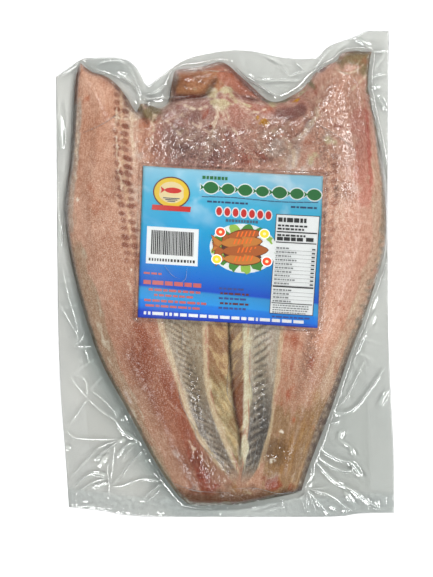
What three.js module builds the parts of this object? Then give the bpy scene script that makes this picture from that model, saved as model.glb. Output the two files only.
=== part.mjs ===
// Salted mudfish: a headless fish split along its back, opened flat and sealed in a clear vacuum bag,
// with a printed paper label under the film. It lies flat, cut flesh and label up.
//
// Millimetres, +Z up, +Y towards the head end. The origin is the middle of the bag on the surface it
// lies on. The bag is tight on the fish, so bag and fish are one solid: a thin flange with the fish's
// relief standing up from it. The label is a sheet of its own that lies over the belly.
import * as THREE from "three";

// ---- Driving dimensions ----

// The bag's outline, corner to corner. A 10 x 14 inch bag, drawn in a little by the vacuum.
const BAG_LEFT = [[-114.5, -171], [-117, -132], [-120.5, -84.5], [-122.5, -26.5], [-123.5, 90.5], [-124, 144.5]];
const BAG_RIGHT = [[124, -175], [123.5, -128.5], [121, -77.5], [119.5, -19], [119.5, 112.5], [120, 178]];
const BAG_BOTTOM = [[-114.5, -171], [-91, -173.5], [-62, -177.5], [3.5, -178], [76.5, -178], [100, -175.5], [124, -175]];
// The mouth of the bag dips between the lobes of the fish.
const BAG_MOUTH = [
  [-124, 144.5], [-106, 157], [-97, 158.5], [-78, 158.5], [-69.5, 155.5], [-63.5, 149], [-57, 137.5], [-51, 141.5],
  [-33, 155], [-18, 160.5], [3.5, 164], [22, 163], [44, 158.5], [66.5, 158.5], [76.5, 167], [97, 174.5],
  [104.5, 178], [120, 178],
];

// The fish's outline: two flanks with the skin on them, the cut at the tail and the cut behind the head.
const LEFT_FLANK = [
  [-106, 155], [-109.5, 143], [-112, 105], [-113.5, 83], [-117.5, 45.5], [-113, 10], [-103, -30], [-90.5, -65],
  [-70, -103], [-51, -138], [-37, -159], [-27.5, -168.5],
];
const TAIL_CUT = [[-27.5, -168.5], [-3.5, -169.5], [11, -169], [27, -166], [56, -159]];
const RIGHT_FLANK = [
  [56, -159], [63.5, -136.5], [77.5, -100.5], [90, -63.5], [101.5, -33.5], [112.5, 0], [118.5, 25], [118.5, 54],
  [114, 90.5], [107.5, 125.5], [105, 138.5], [107.5, 163],
];
// From the right lobe over the throat to the left lobe.
const HEAD_CUT = [
  [107.5, 163], [86, 162], [82, 156.5], [67, 148], [56, 135], [41, 127], [34.5, 126.5], [19.5, 138], [10, 146.5],
  [2, 153.5], [-4.5, 155.5], [-23.5, 151], [-36, 149.5], [-38.5, 138], [-41, 127], [-47.5, 122], [-55, 124],
  [-61.5, 125], [-63.5, 119.5], [-75, 133.5], [-88.5, 145.5], [-98, 148.5], [-106, 155],
];
const BELLY_MIDLINE = [[-2, 180], [-2, 68.5], [2, -19], [5, -50], [4.5, -88.5], [11.5, -114], [11, -150], [11, -180]];

// Behind the vent, a hollow runs down each side of the raised strips that carried the anal fin.
const LEFT_HOLLOW_OUTER = [[-52, 10], [-45.5, -30], [-33.5, -73.5], [-16, -119], [9.5, -157.5]];
const LEFT_HOLLOW_INNER = [[-14, 10], [-12.5, -35], [-9.5, -88.5], [0.5, -125.5], [11, -149]];
const RIGHT_HOLLOW_INNER = [[12, 10], [13, -35], [15, -92], [14, -117], [11.5, -149]];
const RIGHT_HOLLOW_OUTER = [[44, 10], [40, -35], [36.5, -76], [31, -115.5], [18, -161.5]];
const HOLLOW_DEPTH = 3.2;
const HOLLOW_START_Y = 5;
const HOLLOW_FULL_Y = -25;
const HOLLOW_END_Y = -158;
const FIN_STRIP_RISE = 1.8;

const RIM_WIDTH = 9; // the rounded skin side, seen from above
const RIM_HEIGHT = 9;
const BELLY_RISE = 2.5; // the belly over the rim
const FILLET_RISE = 9; // the back muscle over the rim
const FILLET_CENTRE = 0.66; // of the way from the midline to the flank
const FILLET_SPREAD = 0.27;
const TAIL_THINNING = 0.45; // share of the rise that the tail end keeps
const HEAD_THINNING = 0.7; // share of the rise that the lobes keep at the head end
const FLESH_WAVE = 0.7; // uneven flesh on the belly flaps

// The throat lies folded over the belly, a round lobe and a wedge of red muscle.
const THROAT_LOBE = { from: [-27, 140], to: [-10, 143], radius: 13, rise: 6 };
const THROAT_WEDGE = { from: [-3, 145], to: [26, 129], radius: 12, rise: 4 };
const THROAT_BONE = { from: [-7, 127], to: [7, 127], radius: 9, rise: 3 };
const THROAT_CREASE = { from: [-36, 125], to: [-16, 126], radius: 6, rise: -3 };

const FLANGE = 1.2; // both films and the air between their wrinkles
const FLANGE_LIFT = 2.4; // height of the slow waves in the flange
const TENT_REACH = 6; // the film leaves the fish's side and reaches the flange
const TENT_HEIGHT = 3.2;
const SEAM_SLOPE = 2.4; // how steeply the film may rise from the bag's thin edge

const LABEL_WIDTH = 130.5;
const LABEL_LENGTH = 110;
const LABEL_CENTRE = [3.8, 19.6];
const LABEL_SLOPE = THREE.MathUtils.degToRad(-3.4); // of its top edge
const LABEL_LEAN = THREE.MathUtils.degToRad(-2); // of its side edges
const LABEL_THICKNESS = 0.6;
const LABEL_GAP = 0.35; // between the label and the bag's solid
const LABEL_BED = 7; // the relief is smooth this far past the label's edge
const LABEL_BED_FADE = 7;

// Steps of the meshes. The bag's columns run along the flanks and the belly's midline.
const MARGIN_STEPS = [0, 0.3, 0.56, 0.8, 1]; // share of the way from the bag's edge to the tent
const SIDE_STEPS = [-6.5, -3, 0, 1, 2.8, 5.6, 10]; // inwards from the flank
const FLESH_COLUMNS = 19; // from there to the midline
const MIDLINE_CROWDING = 0.45;
const BAG_ROWS = 78;
const ROWS_AT = [[0, -178], [0.09, -158], [0.7, 92], [1, 178]]; // where the rows crowd together
const LABEL_COLUMNS = 18;
const LABEL_ROWS = 15;
const CURVE_STEPS = 160;

// ---- Plane curves ----

const { clamp, lerp, smoothstep } = THREE.MathUtils;

function pointsAlong(controls, steps = CURVE_STEPS) {
  const curve = new THREE.SplineCurve(controls.map(([x, y]) => new THREE.Vector2(x, y)));
  return curve.getPoints(steps);
}

// A curve as a function: the value of one coordinate for the other, which must not turn back.
function lookup(controls, along, across) {
  const points = pointsAlong(controls).sort((a, b) => a[along] - b[along]);
  return (at) => {
    let i = points.findIndex((p) => p[along] >= at);
    if (i === -1) return points[points.length - 1][across];
    if (i === 0) return points[0][across];
    const a = points[i - 1];
    const b = points[i];
    const share = (at - a[along]) / Math.max(b[along] - a[along], 1e-9);
    return lerp(a[across], b[across], share);
  };
}

const xOn = (controls) => lookup(controls, "y", "x");
const yOn = (controls) => lookup(controls, "x", "y");

const fishOutline = [LEFT_FLANK, TAIL_CUT, RIGHT_FLANK, HEAD_CUT].flatMap((side) =>
  pointsAlong(side, side.length * 5).slice(0, -1),
);

function distanceToSegment(x, y, a, b) {
  const dx = b.x - a.x;
  const dy = b.y - a.y;
  const share = clamp(((x - a.x) * dx + (y - a.y) * dy) / (dx * dx + dy * dy), 0, 1);
  return Math.hypot(x - a.x - share * dx, y - a.y - share * dy);
}

// How far a point lies inside the fish's outline, negative outside it.
function depthInFish(x, y) {
  let nearest = Infinity;
  let inside = false;
  fishOutline.forEach((a, i) => {
    const b = fishOutline[(i + 1) % fishOutline.length];
    nearest = Math.min(nearest, distanceToSegment(x, y, a, b));
    const crosses = a.y > y !== b.y > y && x < ((b.x - a.x) * (y - a.y)) / (b.y - a.y) + a.x;
    if (crosses) inside = !inside;
  });
  return inside ? nearest : -nearest;
}

// ---- The fish's relief ----

const midlineAt = xOn(BELLY_MIDLINE);
const leftFlankAt = xOn(LEFT_FLANK);
const rightFlankAt = xOn(RIGHT_FLANK);
const hollows = [
  [xOn(LEFT_HOLLOW_OUTER), xOn(LEFT_HOLLOW_INNER)],
  [xOn(RIGHT_HOLLOW_INNER), xOn(RIGHT_HOLLOW_OUTER)],
];
const leftStripEdge = xOn(LEFT_HOLLOW_INNER);
const rightStripEdge = xOn(RIGHT_HOLLOW_INNER);

const bell = (value, centre, spread) => Math.exp(-(((value - centre) / spread) ** 2));
const arch = (share) => (share > 0 && share < 1 ? Math.sin(Math.PI * share) : 0);

// The slow form: a rounded side, a thick back muscle on each flank and a thinner belly between them.
function bodyHeight(x, y, depth) {
  const side = 1 - clamp(depth / RIM_WIDTH, 0, 1);
  const rim = RIM_HEIGHT * Math.sqrt(1 - side * side);
  const midline = midlineAt(y);
  const flank = x < midline ? leftFlankAt(y) : rightFlankAt(y);
  const reach = Math.abs((x - midline) / (flank - midline));
  const alongBody = lerp(TAIL_THINNING, 1, smoothstep(y, -165, 20)) * lerp(1, HEAD_THINNING, smoothstep(y, 95, 165));
  const fillet = FILLET_RISE * bell(reach, FILLET_CENTRE, FILLET_SPREAD);
  return rim + alongBody * smoothstep(depth, 0, 22) * (BELLY_RISE + fillet);
}

// A rounded bump or crease along a straight stretch.
function swelling(x, y, { from, to, radius, rise }) {
  const away = distanceToSegment(x, y, new THREE.Vector2(...from), new THREE.Vector2(...to));
  return away < radius ? rise * Math.cos((away / radius) * (Math.PI / 2)) ** 0.8 : 0;
}

// The throat, the hollows and fin strips at the tail, and the uneven flesh of the belly.
function detailHeight(x, y) {
  let height = 0;
  for (const part of [THROAT_LOBE, THROAT_WEDGE, THROAT_BONE, THROAT_CREASE]) height += swelling(x, y, part);
  const opened =
    (1 - smoothstep(y, HOLLOW_FULL_Y, HOLLOW_START_Y)) * smoothstep(y, HOLLOW_END_Y, HOLLOW_END_Y + 30);
  for (const [from, to] of hollows) {
    height -= HOLLOW_DEPTH * opened * arch((x - from(y)) / (to(y) - from(y)));
  }
  height += FIN_STRIP_RISE * opened * arch((x - leftStripEdge(y)) / (midlineAt(y) - leftStripEdge(y)));
  height += FIN_STRIP_RISE * opened * arch((x - midlineAt(y)) / (rightStripEdge(y) - midlineAt(y)));
  return height + FLESH_WAVE * Math.sin(x / 7 + y / 19) * Math.sin(y / 9 - x / 23);
}

// ---- The bag over it ----

// A point on the label's sheet, from its middle outwards: across and along from -0.5 to 0.5.
function labelPoint(across, along) {
  const u = across * LABEL_WIDTH;
  const v = along * LABEL_LENGTH;
  return [
    LABEL_CENTRE[0] + u * Math.cos(LABEL_SLOPE) - v * Math.sin(LABEL_LEAN),
    LABEL_CENTRE[1] + u * Math.sin(LABEL_SLOPE) + v * Math.cos(LABEL_LEAN),
  ];
}

// How far a point lies outside the label, zero over it.
function awayFromLabel(x, y) {
  const dx = x - LABEL_CENTRE[0];
  const dy = y - LABEL_CENTRE[1];
  const turn = Math.cos(LABEL_SLOPE - LABEL_LEAN);
  const u = (dx * Math.cos(LABEL_LEAN) + dy * Math.sin(LABEL_LEAN)) / turn;
  const v = (dy * Math.cos(LABEL_SLOPE) - dx * Math.sin(LABEL_SLOPE)) / turn;
  return Math.hypot(Math.max(Math.abs(u) - LABEL_WIDTH / 2, 0), Math.max(Math.abs(v) - LABEL_LENGTH / 2, 0));
}

// Slow waves round the flange, flat again where it meets the fish.
function flangeHeight(x, y, depth) {
  const bearing = Math.atan2(y, x);
  const wave = 0.5 + 0.3 * Math.sin(7 * bearing + 0.6) + 0.2 * Math.sin(13 * bearing + 2);
  return FLANGE + FLANGE_LIFT * wave * smoothstep(-depth, TENT_REACH, 3 * TENT_REACH);
}

const bagBottomEdge = yOn(BAG_BOTTOM);
const bagMouthEdge = yOn(BAG_MOUTH);
const bagLeftEdge = xOn(BAG_LEFT);
const bagRightEdge = xOn(BAG_RIGHT);

function bagTop(x, y) {
  const depth = depthInFish(x, y);
  const bare = smoothstep(awayFromLabel(x, y), LABEL_BED, LABEL_BED + LABEL_BED_FADE);
  const fish = depth > 0 ? bodyHeight(x, y, depth) + bare * smoothstep(depth, 0, 8) * detailHeight(x, y) : 0;
  const tent = FLANGE + TENT_HEIGHT * clamp(1 + depth / TENT_REACH, 0, 1) ** 2;
  const fromEdge = Math.min(
    x - bagLeftEdge(y), bagRightEdge(y) - x, y - bagBottomEdge(x), bagMouthEdge(x) - y,
  );
  return Math.min(Math.max(fish, tent, flangeHeight(x, y, depth)), FLANGE + SEAM_SLOPE * Math.max(fromEdge, 0));
}

// ---- Meshes ----

// A closed mesh from a grid of top points and one of bottom points that share their plan.
function closedGeometry(positions, triangles) {
  const geometry = new THREE.BufferGeometry();
  geometry.setAttribute("position", new THREE.Float32BufferAttribute(positions.flat(), 3));
  geometry.setIndex(triangles.flat());
  geometry.computeVertexNormals();
  return geometry;
}

function gridTriangles(columns, rows, indexOf, upwards) {
  const triangles = [];
  for (let j = 0; j < rows; j++) {
    for (let i = 0; i < columns; i++) {
      const [a, b, c, d] = [indexOf(i, j), indexOf(i + 1, j), indexOf(i + 1, j + 1), indexOf(i, j + 1)];
      if (upwards) triangles.push([a, b, c], [a, c, d]);
      else triangles.push([a, c, b], [a, d, c]);
    }
  }
  return triangles;
}

// The border of a grid as grid places, counterclockwise from above.
function borderPlaces(columns, rows) {
  const places = [];
  for (let i = 0; i < columns; i++) places.push([i, 0]);
  for (let j = 0; j < rows; j++) places.push([columns, j]);
  for (let i = columns; i > 0; i--) places.push([i, rows]);
  for (let j = rows; j > 0; j--) places.push([0, j]);
  return places;
}

// A point of the bag's plan, blended from its four edges.
function bagPoint(across, along) {
  const [bottomLeft, bottomRight] = [BAG_BOTTOM[0], BAG_BOTTOM[BAG_BOTTOM.length - 1]];
  const [topLeft, topRight] = [BAG_MOUTH[0], BAG_MOUTH[BAG_MOUTH.length - 1]];
  const lowX = lerp(bottomLeft[0], bottomRight[0], across);
  const highX = lerp(topLeft[0], topRight[0], across);
  const leftY = lerp(bottomLeft[1], topLeft[1], along);
  const rightY = lerp(bottomRight[1], topRight[1], along);
  const x =
    lerp(lowX, highX, along) +
    (1 - across) * (bagLeftEdge(leftY) - lerp(bottomLeft[0], topLeft[0], along)) +
    across * (bagRightEdge(rightY) - lerp(bottomRight[0], topRight[0], along));
  const y =
    lerp(leftY, rightY, across) +
    (1 - along) * (bagBottomEdge(lowX) - lerp(bottomLeft[1], bottomRight[1], across)) +
    along * (bagMouthEdge(highX) - lerp(topLeft[1], topRight[1], across));
  return [x, y];
}

// How far across one row of the plan crosses a line that runs along the fish.
function acrossAt(along, line) {
  let across = 0.5;
  const width = bagPoint(1, along)[0] - bagPoint(0, along)[0];
  for (let pass = 0; pass < 8; pass++) {
    const [x, y] = bagPoint(across, along);
    across += (line(y) - x) / width;
  }
  return { across, width };
}

// The columns of one side of a row, from the bag's edge to the belly's midline.
function sideColumns(edge, flank, midline, width) {
  const inwards = Math.sign(midline - flank);
  const margin = Math.abs(flank - edge) * width;
  const squeeze = Math.min(1, (0.6 * margin) / -SIDE_STEPS[0]);
  const side = SIDE_STEPS.map((step) => flank + (inwards * step * (step < 0 ? squeeze : 1)) / width);
  const outer = MARGIN_STEPS.slice(0, -1).map((share) => lerp(edge, side[0], share));
  const inner = side[side.length - 1];
  const flesh = Array.from({ length: FLESH_COLUMNS }, (_, n) => {
    const share = (n + 1) / FLESH_COLUMNS;
    return lerp(inner, midline, share + MIDLINE_CROWDING * share * (1 - share));
  });
  return [...outer, ...side, ...flesh];
}

function rowAt(share) {
  const upper = ROWS_AT.findIndex(([at]) => at >= share);
  const [[a, low], [b, high]] = [ROWS_AT[Math.max(upper, 1) - 1], ROWS_AT[Math.max(upper, 1)]];
  return (lerp(low, high, (share - a) / (b - a)) - ROWS_AT[0][1]) / (ROWS_AT[ROWS_AT.length - 1][1] - ROWS_AT[0][1]);
}

// The bag with the fish in it: relief above, one flat face below to lie on.
function vacuumBag() {
  const positions = [];
  let columns = 0;
  for (let j = 0; j <= BAG_ROWS; j++) {
    const along = rowAt(j / BAG_ROWS);
    const { across: midline, width } = acrossAt(along, midlineAt);
    const left = sideColumns(0, acrossAt(along, leftFlankAt).across, midline, width);
    const right = sideColumns(1, acrossAt(along, rightFlankAt).across, midline, width);
    const row = [...left, ...right.reverse().slice(1)];
    columns = row.length - 1;
    for (const across of row) {
      const [x, y] = bagPoint(across, along);
      positions.push([x, y, bagTop(x, y)]);
    }
  }
  const indexOf = (i, j) => j * (columns + 1) + i;
  const triangles = gridTriangles(columns, BAG_ROWS, indexOf, true);
  const border = borderPlaces(columns, BAG_ROWS).map(([i, j]) => indexOf(i, j));
  const foot = positions.length;
  border.forEach((top) => positions.push([positions[top][0], positions[top][1], 0]));
  border.forEach((top, n) => {
    const next = (n + 1) % border.length;
    triangles.push([top, foot + n, foot + next], [top, foot + next, border[next]]);
  });
  const footprint = border.map((top) => new THREE.Vector2(positions[top][0], positions[top][1]));
  for (const [a, b, c] of THREE.ShapeUtils.triangulateShape(footprint, [])) {
    triangles.push([foot + a, foot + c, foot + b]);
  }
  return closedGeometry(positions, triangles);
}

// The label: a sheet of one thickness, bent over the belly.
function labelSheet() {
  const indexOf = (i, j) => j * (LABEL_COLUMNS + 1) + i;
  const upper = [];
  for (let j = 0; j <= LABEL_ROWS; j++) {
    for (let i = 0; i <= LABEL_COLUMNS; i++) {
      const [x, y] = labelPoint(i / LABEL_COLUMNS - 0.5, j / LABEL_ROWS - 0.5);
      upper.push([x, y, bodyHeight(x, y, depthInFish(x, y)) + LABEL_GAP + LABEL_THICKNESS]);
    }
  }
  const lower = upper.map(([x, y, z]) => [x, y, z - LABEL_THICKNESS]);
  const below = upper.length;
  const triangles = [
    ...gridTriangles(LABEL_COLUMNS, LABEL_ROWS, indexOf, true),
    ...gridTriangles(LABEL_COLUMNS, LABEL_ROWS, (i, j) => below + indexOf(i, j), false),
  ];
  const border = borderPlaces(LABEL_COLUMNS, LABEL_ROWS).map(([i, j]) => indexOf(i, j));
  border.forEach((top, n) => {
    const next = border[(n + 1) % border.length];
    triangles.push([top, below + top, below + next], [top, below + next, next]);
  });
  return closedGeometry([...upper, ...lower], triangles);
}

// ---- The part ----

function piece(name, geometry, color, roughness) {
  const mesh = new THREE.Mesh(geometry, new THREE.MeshStandardMaterial({ color, roughness, metalness: 0 }));
  mesh.name = name;
  return mesh;
}

const pack = new THREE.Group();
pack.add(piece("vacuum_bag", vacuumBag(), "#c39a85", 0.3));
pack.add(piece("label", labelSheet(), "#2f8fe0", 0.4));

export default pack;
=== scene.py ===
import math

import bpy
import numpy as np
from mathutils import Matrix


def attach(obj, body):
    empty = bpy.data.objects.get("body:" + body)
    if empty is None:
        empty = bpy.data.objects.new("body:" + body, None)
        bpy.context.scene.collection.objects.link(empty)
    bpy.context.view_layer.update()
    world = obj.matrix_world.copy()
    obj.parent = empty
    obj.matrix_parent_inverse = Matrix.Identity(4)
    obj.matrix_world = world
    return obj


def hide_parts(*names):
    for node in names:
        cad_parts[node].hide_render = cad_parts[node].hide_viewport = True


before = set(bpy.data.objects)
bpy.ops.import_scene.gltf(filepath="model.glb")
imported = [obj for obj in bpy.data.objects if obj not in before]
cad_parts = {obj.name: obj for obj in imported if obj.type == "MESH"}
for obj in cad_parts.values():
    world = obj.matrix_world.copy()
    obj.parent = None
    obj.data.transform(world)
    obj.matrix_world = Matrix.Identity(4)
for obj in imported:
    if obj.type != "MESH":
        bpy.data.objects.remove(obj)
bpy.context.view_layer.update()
print("frame loaded:", sorted(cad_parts))

# Everything below is in millimetres until a mesh is made, x to the right, y to the head end, z up.
mm = 0.001


# an sRGB colour code made linear
def hexColour(code):
    parts = [int(code[i:i + 2], 16) / 255 for i in (1, 3, 5)]
    linear = [c / 12.92 if c <= 0.04045 else ((c + 0.055) / 1.055) ** 2.4 for c in parts]
    return (*linear, 1.0)


def addNode(tree, kind, settings=None, inputs=None):
    node = tree.nodes.new(kind)
    for name, value in (settings or {}).items():
        if name == "stops":  # colour ramp: place -> colour or grey
            elements = node.color_ramp.elements
            while len(elements) < len(value):
                elements.new(0.5)
            for element, (place, colour) in zip(elements, sorted(value.items())):
                element.position = place
                element.color = hexColour(colour) if isinstance(colour, str) else (colour,) * 3 + (1,)
        else:
            setattr(node, name, value)
    for name, value in (inputs or {}).items():
        if isinstance(value, bpy.types.NodeSocket):
            tree.links.new(value, node.inputs[name])
        else:
            node.inputs[name].default_value = value
    return node


def smoothStep(value, low, high):
    t = np.clip((value - low) / (high - low), 0, 1)
    return t * t * (3 - 2 * t)


# a smooth curve through its points, as in the solid's outlines
def smoothLine(points, steps=160):
    p = np.array(points, float)
    at = np.linspace(0, len(p) - 1, steps + 1)
    i = np.minimum(at.astype(int), len(p) - 2)
    t = (at - i)[:, None]
    before, a, b, after = p[np.maximum(i - 1, 0)], p[i], p[i + 1], p[np.minimum(i + 2, len(p) - 1)]
    leave, arrive = (b - before) / 2, (after - a) / 2
    cubed, squared = 2 * a - 2 * b + leave + arrive, 3 * b - 3 * a - 2 * leave - arrive
    return cubed * t ** 3 + squared * t ** 2 + leave * t + a


# x of a line that runs along the fish, for any y
def xAlong(points):
    line = smoothLine(points)
    line = line[np.argsort(line[:, 1])]
    return lambda y: np.interp(y, line[:, 1], line[:, 0])


# distance to a line, and how far along it the nearest place is, from 0 to 1
def nearLine(x, y, line):
    best = np.full(x.shape, 1e9)
    place = np.zeros(x.shape)
    spans = np.hypot(*np.diff(line, axis=0).T)
    starts = np.concatenate([[0], np.cumsum(spans)])
    for (ax, ay), (bx, by), span, start in zip(line[:-1], line[1:], spans, starts):
        dx, dy = bx - ax, by - ay
        share = np.clip(((x - ax) * dx + (y - ay) * dy) / max(span * span, 1e-9), 0, 1)
        away = np.hypot(x - ax - share * dx, y - ay - share * dy)
        closer = away < best
        best = np.where(closer, away, best)
        place = np.where(closer, start + share * span, place)
    return best, place / starts[-1]


# how deep a place lies inside a closed outline, negative outside
def depthInside(x, y, outline):
    away, _ = nearLine(x, y, np.vstack([outline, outline[:1]]))
    inside = np.zeros(x.shape, bool)
    for (ax, ay), (bx, by) in zip(outline, np.roll(outline, -1, axis=0)):
        if ay != by:
            inside ^= ((ay > y) != (by > y)) & (x < (bx - ax) * (y - ay) / (by - ay) + ax)
    return np.where(inside, away, -away)


fieldReach = 400  # mm: how far the random fields go from the middle


# soft random field: size is the width of its lumps in mm
def lumps(x, y, size, seed, octaves=3):
    rng = np.random.default_rng(seed)
    total, weight = np.zeros(x.shape), 0.0
    for octave in range(octaves):
        cell = size / 2 ** octave
        u, v = (x + fieldReach) / cell, (y + fieldReach) / cell
        side = int(2 * fieldReach / cell) + 3
        table = rng.uniform(-1, 1, (side, side))
        i, j = u.astype(int), v.astype(int)
        fu, fv = u - i, v - j
        fu, fv = fu * fu * (3 - 2 * fu), fv * fv * (3 - 2 * fv)
        low = table[j, i] * (1 - fu) + table[j, i + 1] * fu
        high = table[j + 1, i] * (1 - fu) + table[j + 1, i + 1] * fu
        total += (low * (1 - fv) + high * fv) / 2 ** octave
        weight += 1 / 2 ** octave
    return total / weight


# shares from 0 to 1, closer together at both ends
def crowded(count, crowd):
    share = np.linspace(0, 1, count + 1)
    return share - crowd * np.sin(2 * np.pi * share) / (2 * np.pi)


def evenLine(points, count, crowd=0.0):
    line = smoothLine(points, 400)
    run = np.concatenate([[0], np.cumsum(np.hypot(*np.diff(line, axis=0).T))])
    share = crowded(count, crowd)
    return np.stack([np.interp(share * run[-1], run, line[:, k]) for k in (0, 1)], 1)


# a grid of places between four edges; the far edge's shape fades out quickly where pull is high
def edgeGrid(left, right, near, far, columns, rows, pull=1, crowd=0.0):
    leftEdge, rightEdge = evenLine(left, rows, crowd)[:, None], evenLine(right, rows, crowd)[:, None]
    nearEdge, farEdge = evenLine(near, columns, crowd)[None], evenLine(far, columns, crowd)[None]
    s, t = crowded(columns, crowd)[None, :, None], crowded(rows, crowd)[:, None, None]
    places = (1 - s) * leftEdge + s * rightEdge
    places = places + (1 - t) * (nearEdge - (1 - s) * nearEdge[:, :1] - s * nearEdge[:, -1:])
    places = places + t ** pull * (farEdge - (1 - s) * farEdge[:, :1] - s * farEdge[:, -1:])
    return places[..., 0], places[..., 1]


def gridFaces(rows, columns, start=0, upwards=True):
    a = start + (np.arange(rows)[:, None] * (columns + 1) + np.arange(columns)[None])
    quads = np.stack([a, a + 1, a + columns + 2, a + columns + 1], -1).reshape(-1, 4)
    return (quads if upwards else quads[:, ::-1]).tolist()


# a grid's border, counterclockwise seen from above
def gridBorder(rows, columns, start=0):
    width = columns + 1
    ring = list(range(columns))
    ring += [r * width + columns for r in range(rows)]
    ring += [rows * width + c for c in range(columns, 0, -1)]
    ring += [r * width for r in range(rows, 0, -1)]
    return [start + i for i in ring]


def addObject(name, data):
    made = bpy.data.objects.new(name, data)
    bpy.context.scene.collection.objects.link(made)
    return made


def makePiece(name, points, faces, material, smooth=True):
    mesh = bpy.data.meshes.new(name)
    mesh.from_pydata((np.asarray(points) * mm).tolist(), [], faces)
    mesh.validate()
    mesh.polygons.foreach_set("use_smooth", [smooth] * len(mesh.polygons))
    mesh.materials.append(material)
    return addObject(name, mesh)


# keeps a value for each point in the mesh, for the material to read
def addField(piece, name, values, kind="FLOAT"):
    field = piece.data.attributes.new(name, kind, "POINT")
    key = {"FLOAT": "value", "FLOAT_VECTOR": "vector", "FLOAT_COLOR": "color"}[kind]
    field.data.foreach_set(key, np.asarray(values, np.float32).ravel())


def newMaterial(name):
    material = bpy.data.materials.new(name)
    material.use_nodes = True
    material.node_tree.nodes.clear()
    return material, material.node_tree


# gives a Geometry Nodes tree its named inputs and its one output, and returns the inputs
def addSockets(tree, kinds):
    for name, kind in kinds.items():
        tree.interface.new_socket(name, in_out="INPUT", socket_type="NodeSocket" + kind)
    tree.interface.new_socket("Geometry", in_out="OUTPUT", socket_type="NodeSocketGeometry")
    return addNode(tree, "NodeGroupInput").outputs


# runs a Geometry Nodes tree on a piece and returns a plain mesh
def applyTree(piece, tree, values):
    modifier = piece.modifiers.new(tree.name, "NODES")
    modifier.node_group = tree
    sockets = {s.name: s.identifier for s in tree.interface.items_tree if s.in_out == "INPUT"}
    for name, value in values.items():
        modifier[sockets[name]] = value
    made = piece.evaluated_get(bpy.context.evaluated_depsgraph_get())
    mesh = bpy.data.meshes.new_from_object(made)
    piece.modifiers.remove(modifier)
    return mesh


bag = {
    "left": [(-114.5, -171), (-117, -132), (-120.5, -84.5), (-122.5, -26.5), (-123.5, 90.5), (-124, 144.5)],
    "right": [(124, -175), (123.5, -128.5), (121, -77.5), (119.5, -19), (119.5, 112.5), (120, 178)],
    "foot": [(-114.5, -171), (-91, -173.5), (-62, -177.5), (3.5, -178), (76.5, -178), (100, -175.5),
             (124, -175)],
    "mouth": [(-124, 144.5), (-106, 157), (-97, 158.5), (-78, 158.5), (-69.5, 155.5), (-63.5, 149),
              (-57, 137.5), (-51, 141.5), (-33, 155), (-18, 160.5), (3.5, 164), (22, 163), (44, 158.5),
              (66.5, 158.5), (76.5, 167), (97, 174.5), (104.5, 178), (120, 178)],
}

fish = {
    "left": [(-27.5, -168.5), (-37, -159), (-51, -138), (-70, -103), (-90.5, -65), (-103, -30), (-113, 10),
             (-117.5, 45.5), (-113.5, 83), (-112, 105), (-109.5, 143), (-106, 155)],
    "right": [(56, -159), (63.5, -136.5), (77.5, -100.5), (90, -63.5), (101.5, -33.5), (112.5, 0),
              (118.5, 25), (118.5, 54), (114, 90.5), (107.5, 125.5), (105, 138.5), (107.5, 163)],
    "tail": [(-27.5, -168.5), (-18, -169.8), (-3.5, -169.5), (11, -169), (27, -166), (48, -161.5),
             (56, -159)],
    # left lobe, notch, belly's edge, throat, belly's edge again, right lobe
    "head": [(-106, 155), (-98, 148.5), (-88.5, 145.5), (-80.5, 140), (-73, 131), (-66.5, 120.5),
             (-63.5, 119.5), (-61.5, 125), (-55, 124), (-47.5, 122), (-41.5, 126), (-39.5, 132),
             (-38.8, 141), (-36.5, 149), (-30, 150.5), (-23.5, 151), (-12, 153.5), (-4.5, 155.5),
             (2, 153.5), (10, 146.5), (19.5, 138), (28, 130), (34.5, 126.5), (41, 127), (48.5, 130.5),
             (56, 135), (61.5, 141.5), (67, 148), (74.5, 153), (82, 156.5), (86, 162), (96, 163.5),
             (107.5, 163)],
    "midline": [(-2, 180), (-2, 68.5), (2, -19), (3.4, -57), (4.2, -71), (5.6, -85), (7.3, -100.7),
                (10.2, -114.6), (11, -130.7), (11.5, -148), (11, -180)],
    "rimWidth": 9, "rimHeight": 9, "bellyRise": 2.5, "tailThinning": 0.45, "headThinning": 0.7,
    "filletRise": 9, "filletCentre": 0.66, "filletSpread": 0.27,
    "bellyFolds": (1.2, 0.8), "unevenness": (0.4, 0.2),  # coarse and fine
    "rest": 0.4,  # the skin side lies this far over the table
}

# behind the vent: membranes in two hollows, with the raised strips that carried the anal fin between them
vent = {
    "leftOuter": [(-54, 10), (-48, -30), (-42.5, -52), (-35, -73.5), (-27.5, -98), (-18.5, -119),
                  (-4, -140), (7, -154)],
    "leftInner": [(-15, 10), (-14.5, -35), (-14, -62), (-13, -80), (-8.5, -100), (-2, -118), (5, -134),
                  (10.5, -146)],
    "rightInner": [(15, 10), (16.5, -35), (17.5, -70), (17, -92), (17, -104.5), (16, -117), (14, -133.5),
                   (11.5, -147)],
    "rightOuter": [(46, 10), (42, -35), (39.5, -55), (37.5, -76), (35.5, -92), (34.5, -104.5), (32, -115.5),
                   (29, -125.5), (24, -142), (14, -155)],
    "startY": 5, "fullY": -25, "endY": -156, "endFade": 25,
    "depth": 1.7, "stripRise": 1.2, "slitDepth": 2.6, "slitWidth": 1.1,
    "ridgePitch": (4.1, 5.6), "ridgeHeight": 0.3, "ridgeSlope": 0.6,  # the membranes' oblique muscle ends
    "grainSlope": 1.5,  # of the fibres in the fin strips
}

# the throat, cut loose and folded up: a smooth lobe, a crevice under it and rough gristle at its root
throat = {
    "lobe": [(-27, 141), (-10, 144)], "lobeRadius": 12.5, "lobeRise": 5.5,
    "strip": [(2, 146), (27, 130)], "stripRadius": 7, "stripRise": 2.2,
    "gristle": (-2, 128), "gristleReach": (12, 7), "gristleRise": 1.5, "gristleLumps": 2.0,
}

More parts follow.
